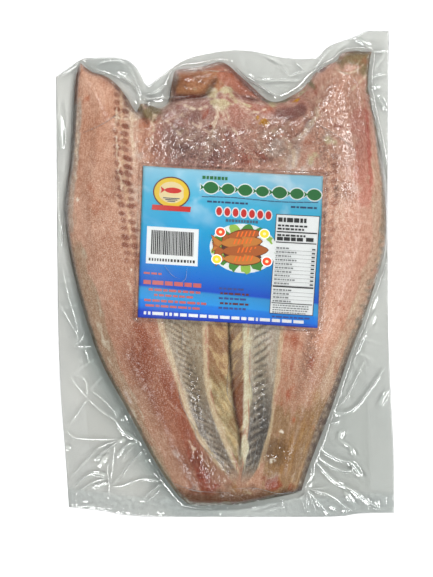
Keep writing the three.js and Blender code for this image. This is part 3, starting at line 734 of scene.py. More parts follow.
    # skin that rolls round the cut edges: olive grey, mottled
    rim = np.where(isLeft, 0.9 + 1.0 * smoothStep(y, 60, -60), 1.2)
    skin = (1 - smoothStep(depth, rim, rim + 1.6)) * (y < 128) * np.where(isLeft, smoothStep(y, 70, 30), 1)
    waist = smoothStep(y, 60, 0) * smoothStep(y, -60, -20)
    rolled = smoothStep(at["rightSkin"], -1.5, 1.5) * smoothStep(y, 112, 90) * (1 - 0.5 * waist)
    tone = blend(tone, ragged(skin, "grit", 0.3), "#948a72", 0.7)
    tone = blend(tone, ragged(rolled, "grit", 0.2), "#9f8c7c", 0.8)
    tone = blend(tone, rolled * smoothStep(y, -40, -80) * smoothStep(-rough["grit"], -1, 1), "#775f56", 0.7)
    crystals = spots["frost"] * (0.8 + 0.35 * rough["speck"] + 0.25 * rough["grit"])
    tone = blend(tone, smoothStep(crystals, 0.5, 0.95), "#f6ede2", 0.9)
    middling = np.array(hexColour(fleshTune["middling"])[:3])
    tone = np.maximum(middling + fleshTune["contrast"] * (tone - middling), 0.006)
    # white specks: salt and ice, and painted glints of the film
    speckAndGlintMask = smoothStep(rough["speck"], 2.0, 2.7) * (0.35 + 0.65 * stainField(x, y, speckAndGlintPlaces))
    return np.clip(blend(tone, speckAndGlintMask, "#fbf3ea", 0.85) * np.array(fleshTune["gain"]), 0, 1.4)


# Salted fish flesh, cut open: moist, hardly glossy under its film, slightly cloudy, with fine fibres. The
# zones' colours are kept in the mesh. Over them go fibres 1.1 mm wide, grains of 0.75 mm and, on the thick
# muscle, white flecks: partly frost, partly painted glints of the film.
fleshFinish = {
    "fibreWidth": 1.1, "fibreLength": 4, "grain": 0.75, "mottle": 3.0,  # sizes in mm
    "fibreTint": ("#eae0da", "#ffffff"), "grainTint": ("#ece4df", "#ffffff"),
    "mottleTint": ("#f2ebe7", "#ffffff"),
    "frostAndGlintTint": "#fff3ea", "roughness": (0.34, 0.55), "bump": 0.3, "bumpHeight": 0.4,
    "ior": 1.38, "specular": 0.04,  # the film over it gives the gloss
}


def makeFleshMaterial():
    material, tree = newMaterial("saltedFishFlesh")
    place = addNode(tree, "ShaderNodeTexCoord")
    inMm = addNode(tree, "ShaderNodeMapping",
                   inputs={"Vector": place.outputs["Object"], "Scale": (1000,) * 3}).outputs[0]
    grain = addNode(tree, "ShaderNodeAttribute", {"attribute_name": "grain"}).outputs["Vector"]
    threads = addNode(tree, "ShaderNodeMapping", inputs={
        "Vector": grain, "Scale": (1, fleshFinish["fibreWidth"] / fleshFinish["fibreLength"], 1)}).outputs[0]
    noise = {}
    for name, vector, size, detail in (("fibre", threads, fleshFinish["fibreWidth"], 3),
                                       ("grit", inMm, fleshFinish["grain"], 2),
                                       ("mottle", inMm, fleshFinish["mottle"], 3)):
        noise[name] = addNode(tree, "ShaderNodeTexNoise", inputs={
            "Vector": vector, "Scale": 1 / size, "Detail": detail}).outputs["Fac"]
    colour = addNode(tree, "ShaderNodeAttribute", {"attribute_name": "tone"}).outputs["Color"]
    for name, low, high, tints in (("fibre", 0.36, 0.64, "fibreTint"), ("grit", 0.36, 0.56, "grainTint"),
                                   ("mottle", 0.36, 0.6, "mottleTint")):
        dark, light = fleshFinish[tints]
        tint = addNode(tree, "ShaderNodeValToRGB", {"stops": {low: dark, high: light}}, {"Fac": noise[name]})
        colour = addNode(tree, "ShaderNodeMix", {"data_type": "RGBA", "blend_type": "MULTIPLY"}, {
            0: 1.0, 6: colour, 7: tint.outputs["Color"]}).outputs[2]
    # white flecks: frost, and painted glints of the film
    flecks = addNode(tree, "ShaderNodeAttribute", {"attribute_name": "flecks"}).outputs["Fac"]
    seen = addNode(tree, "ShaderNodeMapRange", {"interpolation_type": "SMOOTHSTEP"}, {
        "Value": noise["grit"], "From Min": 0.55, "From Max": 0.63}).outputs["Result"]
    amount = addNode(tree, "ShaderNodeMath", {"operation": "MULTIPLY"}, {0: seen, 1: flecks}).outputs[0]
    colour = addNode(tree, "ShaderNodeMix", {"data_type": "RGBA"}, {
        0: amount, 6: colour, 7: hexColour(fleshFinish["frostAndGlintTint"])}).outputs[2]
    relief = addNode(tree, "ShaderNodeMath", {"operation": "ADD"},
                     {0: noise["fibre"], 1: noise["grit"]}).outputs[0]
    bump = addNode(tree, "ShaderNodeBump", inputs={
        "Height": relief, "Strength": fleshFinish["bump"],
        "Distance": fleshFinish["bumpHeight"] * mm}).outputs[0]
    wet, matt = fleshFinish["roughness"]
    rough = addNode(tree, "ShaderNodeMapRange",
                    inputs={"Value": noise["mottle"], "To Min": wet, "To Max": matt}).outputs["Result"]
    shader = addNode(tree, "ShaderNodeBsdfPrincipled", inputs={
        "Base Color": colour, "Roughness": rough, "Normal": bump, "IOR": fleshFinish["ior"],
        "Specular IOR Level": fleshFinish["specular"]})
    addNode(tree, "ShaderNodeOutputMaterial", inputs={"Surface": shader.outputs[0]})
    return material


# where frost and painted glints of the film show on the flesh, in the same terms as the stains
frostAndGlintPlaces = [(86, 112, 15, 28, 0, .8), (82, 60, 14, 26, 0, .4), (-84, 40, 22, 60, 0, .2),
           (70, -60, 20, 50, 0, .25), (-60, -80, 24, 60, 0, .25), (0, 100, 40, 20, 0, .35)]

mudfish = makePiece("mudfish", fishPoints, fishFaces, makeFleshMaterial())
fishGrain = grainField(fx, fy)
fishTone = fleshTone(fx, fy, fDepth, fishGrain)
frostAndGlintFlecks = 0.06 + 0.6 * stainField(fx, fy, frostAndGlintPlaces)
addField(mudfish, "tone", np.concatenate([fishTone, np.ones(fx.shape + (1,))], -1), "FLOAT_COLOR")
addField(mudfish, "grain", fishGrain, "FLOAT_VECTOR")
addField(mudfish, "flecks", frostAndGlintFlecks)
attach(mudfish, "root")
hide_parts("vacuum_bag")
print("fish made")


paper = {
    "sheet": 0.25, "columns": 66, "rows": 56,
    "ply": 0.09, "sink": 0.1,  # how far each layer of print stands up, and how deep its foot goes
}


# the place of a point given in mm from the label's middle
def labelPoints(u, v):
    x = label["centre"][0] + u * math.cos(label["slope"]) - v * math.sin(label["lean"])
    y = label["centre"][1] + u * math.sin(label["slope"]) + v * math.cos(label["lean"])
    return x, y


def labelTop(x, y):
    return bodyHeight(x, y, depthInside(x, y, fishOutline)) + label["gap"] + label["thickness"]


lu, lv = np.meshgrid(np.linspace(-.5, .5, paper["columns"] + 1) * label["width"],
                     np.linspace(-.5, .5, paper["rows"] + 1) * label["length"])
lx, ly = labelPoints(lu, lv)
lz = labelTop(lx, ly)
sheetCount = lz.size
labelVerts = np.vstack([np.stack([lx.ravel(), ly.ravel(), (lz - down).ravel()], 1)
                        for down in (0, paper["sheet"])])
sheetGrid = paper["rows"], paper["columns"]
labelFaces = gridFaces(*sheetGrid) + gridFaces(*sheetGrid, sheetCount, False)
ring = gridBorder(*sheetGrid)
for a, b in zip(ring, ring[1:] + ring[:1]):
    labelFaces.append([a, a + sheetCount, b + sheetCount, b])


# Coated paper, offset printed: smooth and satin, with an even sky that runs from deep blue at the foot to
# pale blue at the top, and soft white clouds in its upper half
labelFinish = {
    "sky": {0.0: "#0038ba", 0.05: "#0042c2", 0.075: "#0a78d8", 0.12: "#1488dc", 0.13: "#2a9ede",
            0.2: "#359acf", 0.215: "#0452c3", 0.3: "#0473cb", 0.42: "#068fce", 0.6: "#18a2ce",
            0.8: "#42b3d3", 1.0: "#91c4d7"},
    "tilt": 0.05, "cloud": "#c7dbe5", "cloudScale": 4.5,  # about so many clouds across the sheet
    "roughness": 0.42, "ior": 1.5, "specular": 0.2,
}


def makeLabelMaterial():
    material, tree = newMaterial("coatedPaperLabel")
    uv = addNode(tree, "ShaderNodeAttribute", {"attribute_name": "sheetPlace"})
    split = addNode(tree, "ShaderNodeSeparateXYZ", inputs={0: uv.outputs["Vector"]})
    clouds = addNode(tree, "ShaderNodeTexNoise", inputs={
        "Vector": uv.outputs["Vector"], "Scale": labelFinish["cloudScale"], "Detail": 3, "Distortion": 0.4})
    tilt = addNode(tree, "ShaderNodeMath", {"operation": "MULTIPLY_ADD"},
                   {0: split.outputs["X"], 1: labelFinish["tilt"], 2: split.outputs["Y"]})
    sky = addNode(tree, "ShaderNodeValToRGB", {"stops": labelFinish["sky"]}, {"Fac": tilt.outputs[0]})
    white = addNode(tree, "ShaderNodeMapRange", {"interpolation_type": "SMOOTHSTEP"},
                    {"Value": clouds.outputs["Fac"], "From Min": 0.5, "From Max": 0.75}).outputs["Result"]
    high = addNode(tree, "ShaderNodeMapRange", {"interpolation_type": "SMOOTHSTEP"},
                   {"Value": split.outputs["Y"], "From Min": 0.45, "From Max": 1.0}).outputs["Result"]
    puffs = addNode(tree, "ShaderNodeMath", {"operation": "MULTIPLY"}, {0: white, 1: high})
    colour = addNode(tree, "ShaderNodeMix", {"data_type": "RGBA"}, {
        0: puffs.outputs[0], 6: sky.outputs["Color"], 7: hexColour(labelFinish["cloud"])})
    shader = addNode(tree, "ShaderNodeBsdfPrincipled", inputs={
        "Base Color": colour.outputs[2], "Roughness": labelFinish["roughness"], "IOR": labelFinish["ior"],
        "Specular IOR Level": labelFinish["specular"]})
    addNode(tree, "ShaderNodeOutputMaterial", inputs={"Surface": shader.outputs[0]})
    return material


labelSheet = makePiece("label_sheet", labelVerts, labelFaces, makeLabelMaterial())
sheetPlace = np.stack([lu.ravel() / label["width"] + .5, lv.ravel() / label["length"] + .5,
                       np.zeros(sheetCount)], 1)
addField(labelSheet, "sheetPlace", np.vstack([sheetPlace, sheetPlace]), "FLOAT_VECTOR")
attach(labelSheet, "root")
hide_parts("label")

ink = {
    "green": "#0a7a30", "white": "#fbfcfc", "red": "#d8200f", "navy": "#23406e", "grey": "#4d6b86",
    "black": "#1d1d1d", "salmon": "#dc6c6c", "yellow": "#f0cf2a", "maroon": "#6b1f2a", "leaf": "#4f9a34",
    "brown": "#9c5220", "orange": "#e0641c", "cream": "#f0dfae", "lime": "#a9cf52", "wine": "#3a4f9a",
    "umber": "#5e2c12", "tan": "#b4702c", "tomato": "#e2481c", "steel": "#8d8f90",
}
printed = {"points": [], "faces": [], "colours": []}


# lays a flat shape on the label: points in mm from its middle, faces, ink and layer of print; its foot is
# sunk into the paper, so the print is closed all round
def lay(points, faces, colour, layer):
    u, v = np.array(points, float).T
    x, y = labelPoints(u, v)
    z = labelTop(x, y)
    first = len(printed["points"])
    count = len(x)
    for lift in (paper["ply"] * layer, -paper["sink"]):
        printed["points"] += np.stack([x, y, z + lift], 1).tolist()
    printed["faces"] += [[first + i for i in f] for f in faces]
    printed["faces"] += [[first + count + i for i in f[::-1]] for f in faces]
    used = {(a, b) for f in faces for a, b in zip(f, f[1:] + f[:1])}
    for a, b in used:
        if (b, a) not in used:
            printed["faces"].append([first + a, first + count + a, first + count + b, first + b])
    printed["colours"] += [hexColour(ink[colour])] * (2 * count)


# a box between two corners, in cells small enough to follow the paper
def layBox(u0, v0, u1, v1, colour, layer, cell=4.0, skew=0.0):
    columns, rows = (max(1, round(abs(size) / cell)) for size in (u1 - u0, v1 - v0))
    gu, gv = np.meshgrid(np.linspace(u0, u1, columns + 1), np.linspace(v0, v1, rows + 1))
    gu = gu + skew * (gv - v0)
    lay(np.stack([gu.ravel(), gv.ravel()], 1), gridFaces(rows, columns), colour, layer)


# turns a shape about its own origin and sets it down at u, v
def placed(u, v, x, y, turn):
    c, s = math.cos(turn), math.sin(turn)
    return np.stack([u + x * c - y * s, v + x * s + y * c], 1)


def layFan(rim, middle, colour, layer):
    count = len(rim)
    lay(np.vstack([rim, [middle]]), [[i, (i + 1) % count, count] for i in range(count)], colour, layer)


def layRound(u, v, ru, rv, colour, layer, sides=28, turn=0.0, wobble=0.0, seed=1):
    rng = np.random.default_rng(seed)
    a = np.linspace(0, 2 * np.pi, sides, endpoint=False)
    r = 1 + wobble * rng.uniform(-1, 1, sides)
    layFan(placed(u, v, ru * r * np.cos(a), rv * r * np.sin(a), turn), [u, v], colour, layer)


# a plain little fish seen from the side, nose to the right
def layFish(u, v, size, colour, layer, turn=0.0, grow=0.0, fat=0.34):
    t = np.linspace(0, np.pi, 13)
    back = [(0.5 * math.cos(a), fat * 0.5 * math.sin(a) ** 1.2) for a in t]
    belly = [(-0.5 * math.cos(a), -fat * 0.5 * math.sin(a) ** 1.2) for a in t[1:-1]]
    tail = [(-0.44, 0), (-0.72, 0.2), (-0.66, 0), (-0.72, -0.2)]
    for shape in (np.array(back + belly) * size, np.array(tail) * size):
        centre = shape.mean(0)
        away = shape - centre
        shape = centre + away * (1 + grow / np.maximum(np.hypot(*away.T), 1e-6))[:, None]
        rim = placed(u, v, shape[:, 0], shape[:, 1], turn)
        layFan(rim, rim.mean(0), colour, layer)


# A row of printed bars with random widths and even gaps: words that say nothing, or a plain bar code
def makeRowTree():
    tree = bpy.data.node_groups.new("barRow", "GeometryNodeTree")
    given = addSockets(tree, {"Count": "Int", "Narrow": "Float", "Wide": "Float", "Gap": "Float",
                              "Height": "Float", "Length": "Float", "Seed": "Int", "Ink": "Material"})
    line = addNode(tree, "GeometryNodeMeshLine", {"mode": "OFFSET"},
                   {"Count": given["Count"], "Offset": (0, 0, 0)})
    dots = addNode(tree, "GeometryNodeMeshToPoints", inputs={"Mesh": line.outputs["Mesh"]})
    width = addNode(tree, "FunctionNodeRandomValue", {"data_type": "FLOAT"},
                    {2: given["Narrow"], 3: given["Wide"], "Seed": given["Seed"]}).outputs[1]
    step = addNode(tree, "ShaderNodeMath", {"operation": "ADD"}, {0: width, 1: given["Gap"]}).outputs[0]
    run = addNode(tree, "GeometryNodeAccumulateField", {"data_type": "FLOAT"}, {0: step})
    centre = addNode(tree, "ShaderNodeMath", {"operation": "MULTIPLY_ADD"},
                     {0: width, 1: 0.5, 2: run.outputs[1]}).outputs[0]
    place = addNode(tree, "ShaderNodeCombineXYZ", inputs={"X": centre}).outputs[0]
    moved = addNode(tree, "GeometryNodeSetPosition", inputs={"Geometry": dots.outputs[0], "Position": place})
    past = addNode(tree, "ShaderNodeMath", {"operation": "ADD"}, {0: run.outputs[1], 1: width}).outputs[0]
    tooFar = addNode(tree, "FunctionNodeCompare", {"data_type": "FLOAT", "operation": "GREATER_THAN"},
                     {0: past, 1: given["Length"]})
    kept = addNode(tree, "GeometryNodeDeleteGeometry", {"domain": "POINT"},
                   {"Geometry": moved.outputs[0], "Selection": tooFar.outputs[0]})
    bar = addNode(tree, "GeometryNodeMeshGrid",
                  inputs={"Size X": 1.0, "Size Y": 1.0, "Vertices X": 2, "Vertices Y": 2})
    size = addNode(tree, "ShaderNodeCombineXYZ",
                   inputs={"X": width, "Y": given["Height"], "Z": 1.0}).outputs[0]
    bars = addNode(tree, "GeometryNodeInstanceOnPoints", inputs={
        "Points": kept.outputs[0], "Instance": bar.outputs[0], "Scale": size})
    real = addNode(tree, "GeometryNodeRealizeInstances", inputs={"Geometry": bars.outputs[0]})
    inked = addNode(tree, "GeometryNodeSetMaterial",
                    inputs={"Geometry": real.outputs[0], "Material": given["Ink"]})
    addNode(tree, "NodeGroupOutput", inputs={0: inked.outputs[0]})
    return tree


# Offset ink on coated paper: the colour of each shape is kept in the mesh, and the ink dries a little satin.
# Its screen of 0.2 mm is too fine to show, so the ink is drawn uneven in spots of about 1 mm.
inkFinish = {"scale": 900, "evenness": (0.79, 0.87), "roughness": 0.4, "ior": 1.5}  # scale: spots in a metre


def makeInkMaterial():
    material, tree = newMaterial("offsetInk")
    tone = addNode(tree, "ShaderNodeAttribute", {"attribute_name": "ink"})
    place = addNode(tree, "ShaderNodeTexCoord")
    screen = addNode(tree, "ShaderNodeTexNoise", inputs={
        "Vector": place.outputs["Object"], "Scale": inkFinish["scale"], "Detail": 2})
    dark, full = inkFinish["evenness"]
    uneven = addNode(tree, "ShaderNodeMapRange", inputs={
        "Value": screen.outputs["Fac"], "To Min": dark, "To Max": full})
    colour = addNode(tree, "ShaderNodeVectorMath", {"operation": "SCALE"}, {
        0: tone.outputs["Color"], "Scale": uneven.outputs["Result"]})
    shader = addNode(tree, "ShaderNodeBsdfPrincipled", inputs={
        "Base Color": colour.outputs[0], "Roughness": inkFinish["roughness"], "IOR": inkFinish["ior"]})
    addNode(tree, "ShaderNodeOutputMaterial", inputs={"Surface": shader.outputs[0]})
    return material


inkMaterial = makeInkMaterial()
rowTree = makeRowTree()


# a row of bars from u to the right; a bar that would end past its length is left out
def layRow(u, v, length, height, narrow, wide, gap, colour, layer, seed, tilt=0.0):
    row = addObject("row", bpy.data.meshes.new("row"))
    bars = applyTree(row, rowTree, {"Count": 60, "Narrow": narrow, "Wide": wide, "Gap": gap, "Height": height,
                                    "Length": length, "Seed": seed, "Ink": inkMaterial})
    co = np.zeros(len(bars.vertices) * 3)
    bars.vertices.foreach_get("co", co)
    co = co.reshape(-1, 3)
    faces = [list(p.vertices) for p in bars.polygons]
    if faces:
        lay(placed(u, v, co[:, 0], co[:, 1], tilt), faces, colour, layer)
    bpy.data.objects.remove(row)


# The printed fields. All places and sizes are in mm from the label's middle, and every row has its own seed.
def printBadge():  # a plain round plaque with a fish on it
    layRound(-44, 37, 13.5, 11.5, "maroon", 1)
    layRound(-44, 37, 12.6, 10.6, "yellow", 2)
    layRound(-44, 37, 9.6, 7.8, "cream", 3)
    layFish(-43, 38.5, 12.5, "red", 4)
    for k in range(3):
        layBox(-50 + k * 1.6, 32.5 - k * 1.1, -38 - k * 1.6, 33.1 - k * 1.1, "navy", 4)
    layBox(-58, 23.6, -30, 27.4, "red", 3, skew=0.12)


def printTitle():  # a shoal of green fish in a white edge where a name would stand
    layRow(-22, 49.5, 19, 2.3, 1.6, 2.6, 0.7, "green", 2, 4)
    for k, size in enumerate((10.9, 9.6, 10.6, 9.5, 10.8, 9.8, 10.4)):
        place = (-15.5 + k * 12.5, 42.3 - 0.2 * k)
        layFish(*place, size, "white", 1, grow=0.8, fat=0.78)
        layFish(*place, size, "green", 2, fat=0.78)
    for k in range(16):
        u, rise = k * 5.3, 0.55 * math.sin(k / 2.2)
        layBox(-22 + u, 35.2 + rise, -17 + u, 35.7 + rise, "navy", 2)
    layRow(-18, 32.2, 30, 1.3, 1.6, 4.2, 0.8, "navy", 2, 7)
    layRow(43, 31.6, 19, 1.3, 1.8, 4.5, 0.8, "navy", 2, 9)


def printStrap():  # red beads in a white edge, with small grey marks under them
    for k in range(7):
        u = -9 + k * 6.0
        layRound(u, 25.5 - k * 0.15, 2.9, 3.9, "white", 1, 14)
        layRound(u, 25.5 - k * 0.15, 2.1, 3.0, "red", 2, 14)
    layRow(-4, 19.2, 24, 2.0, 1.1, 2.2, 0.6, "grey", 2, 12)


def printDish():  # fried fish in a row on a plate of herbs, with lemon and tomato slices
    layRound(9.5, -0.5, 24.5, 18, "white", 1, 36)
    for k in range(13):
        a = 2 * math.pi * k / 13
        u, v, green = 9.5 + 17 * math.cos(a), -0.5 + 12 * math.sin(a), ("leaf", "lime", "leaf")[k % 3]
        layRound(u, v, 5.8, 4.2, green, 2 + k % 2, 16, a, 0.25, k + 3)
    layRound(9.5, -0.5, 16, 11, "umber", 4, 24)
    for u, v, size, turn, shade in (
            (10, 9.5, 24, 0.16, "brown"), (8, 4, 30, 0.1, "tan"),
            (11, -2, 33, 0.08, "brown"), (9, -8.5, 27, 0.02, "tan")):
        layFish(u, v, size, "umber", 5, turn, 0.6, 0.3)
        layFish(u, v, size, shade, 6, turn, 0, 0.28)
        for k in range(5):
            along, up = k * 2.9, k * 0.3
            layBox(u - 6 + along, v - 1.9 + up, u - 4.9 + along, v + 2.0 + up, "orange", 7, skew=0.35)
    for u, v, shade in (
            (-9.5, -9.5, "yellow"), (27, -9, "tomato"), (-7.5, 10.5, "tomato"), (24.5, 11, "yellow")):
        layRound(u, v, 4.0, 3.7, "white", 7, 20)
        layRound(u, v, 3.3, 3.0, shade, 8, 20)
        layRound(u, v, 1.2, 1.1, "cream", 9, 12)


def printBarcode():  # bars of random widths that code nothing
    layBox(-60.8, -15.5, -23.3, 11.5, "white", 1)
    layRow(-57.5, 0.2, 31.5, 17.5, 0.28, 1.1, 0.42, "black", 2, 3)
    layRow(-58.8, -12.4, 33.5, 2.0, 0.9, 1.7, 0.9, "black", 2, 31)


def printPanel():  # a ruled table with a white ground
    left, right, top, foot = 30.0, 61.6, 26.0, -46.5
    slant = 0.035  # to the right, for each mm up
    layBox(left, foot, right, top, "black", 1, skew=slant)
    layBox(left + 0.5, foot + 0.5, right - 0.5, top - 0.5, "white", 2, skew=slant)
    for v, height, narrow, wide, seed in (
            (top - 4, 3.2, 1.7, 4.5, 9), (top - 8.2, 1.3, 1.0, 3.0, 11), (top - 10.6, 1.4, 1.2, 3.4, 12),
            (top - 15.2, 1.4, 1.4, 3.6, 13), (top - 17.8, 2.6, 2.4, 4.6, 14)):
        start, length = left + 1.8 + slant * (v - foot), right - left - 9
        layRow(start, v, length, height, narrow, wide, 0.7, "black", 3, seed)
    layBox(right - 7, top - 19, right - 1.6, top - 16.2, "black", 3, skew=slant)

    def layLine(v, low, high, colour, fromLeft=1.2, fromRight=1.2, start=left):
        shift = slant * (v - foot)
        layBox(start + fromLeft + shift, v + low, right - fromRight + shift, v + high, colour, 3)

    for v, thick in ((top - 12.8, 0.9), (top - 20.4, 0.7), (-26.5, 1.0), (-38.6, 0.6)):
        layLine(v, -thick / 2, thick / 2, "black")
    for k in range(10):
        v = top - 24.6 - k * 2.85
        start, length = left + 1.8 + slant * (v - foot), 11 + 6 * math.sin(k * 1.7) ** 2
        layRow(start, v, length, 1.1, 0.8, 2.4, 0.5, "steel", 3, 40 + k)
        layLine(v, -0.5, 0.5, "black", -4, 1.6, right)
        layLine(v, -1.55, -1.35, "steel")
    for k in range(4):
        v = -29 - k * 2.7
        start = left + 1.8 + slant * (v - foot)
        layRow(start, v, 14, 1.1, 0.8, 2.6, 0.5, "steel", 3, 60 + k)
        layLine(v, -1.4, -1.2, "steel")
        layRow(start, -40.2 - k * 1.7, 26, 0.8, 0.8, 2.2, 0.5, "steel", 3, 70 + k)


def printFoot():  # plain dashes where the address, the list and the foot line stand
    for v, length, height, narrow, wide, seed, indent in (
            (-22.5, 13, 1.4, 2.0, 5, 21, 0), (-29.0, 45, 3.0, 3.2, 9, 22, 0),
            (-34.2, 39, 1.7, 2.0, 6, 23, 4), (-38.0, 30, 1.5, 2.0, 5, 24, 8),
            (-42.0, 45, 1.7, 2.0, 6, 25, 1), (-45.8, 42, 1.6, 2.0, 7, 26, 2)):
        layRow(-62 + indent, v, length, height, narrow, wide, 1.0, "salmon", 2, seed, -0.01)
    for k, v in enumerate((-30.5, -34.0, -37.6, -41.2, -44.6)):
        layRow(-7 + (k % 2), v, 22, 1.4, 1.6, 4.4, 0.9, "maroon" if k % 2 else "wine", 2, 80 + k)
    layRow(32, -48.6, 28, 1.1, 1.4, 4.5, 0.8, "wine", 2, 90)
    layRow(-61, -51.4, 118, 2.3, 1.6, 8.5, 1.3, "white", 2, 27)


printBadge()
printTitle()
printStrap()
printDish()
printBarcode()
printPanel()
printFoot()
labelPrint = makePiece("label_print", printed["points"], printed["faces"], inkMaterial, smooth=False)
addField(labelPrint, "ink", printed["colours"], "FLOAT_COLOR")
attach(labelPrint, "root")
print("label printed:", len(printed["faces"]), "faces")


# Vacuum bag, sizes in mm. The sheet is drawn over the contents, and its own tension bridges hollows.
film = {
    "columns": 256, "rows": 352, "crowd": 0.34,
    "backEvery": 4,  # the back has one face for four by four in front
    "back": 0.12, "gap": 0.25, "overLabel": 0.45,
    "sag": 0.05, "passes": 420,  # how tight the vacuum pulls the film over the edges
    "edgeLift": 1.2, "liftReach": 24, "sideSeal": 17, "footSeal": 11, "sealFade": 5,
    "waveHeight": 0.8, "waveLength": 40, "pleatHeight": 0.35, "wrinkle": 0.36, "wrinkleWidth": 3.2,
    "pressReach": 1.4, "pressRise": 0.55,  # a pleat lifts the film round it
    "dentLength": 1.25, "dentWidth": 1.3,  # how much larger the dents are drawn than they are listed
    "crumple": (0.3, 0.4),  # coarse and fine, in the foot seal
    "least": 0.18, "edgeGap": 0.1,  # front above back, at least and at the cut edge
}

# Four softboxes stand round the pack at one height, so every crease has one side that sends light to the
# camera. Sizes are in metres, tilt is in degrees from straight above, and watts are given for each bearing
# from +x.
softboxes = {
    "tilt": 39, "distance": 1.3, "width": 0.25, "length": 0.68,
    "watts": {20: 6.4, 110: 9.6, 245: 8.2, 335: 5.6},
}
glintSlope = math.tan(math.radians(softboxes["tilt"]) / 2)

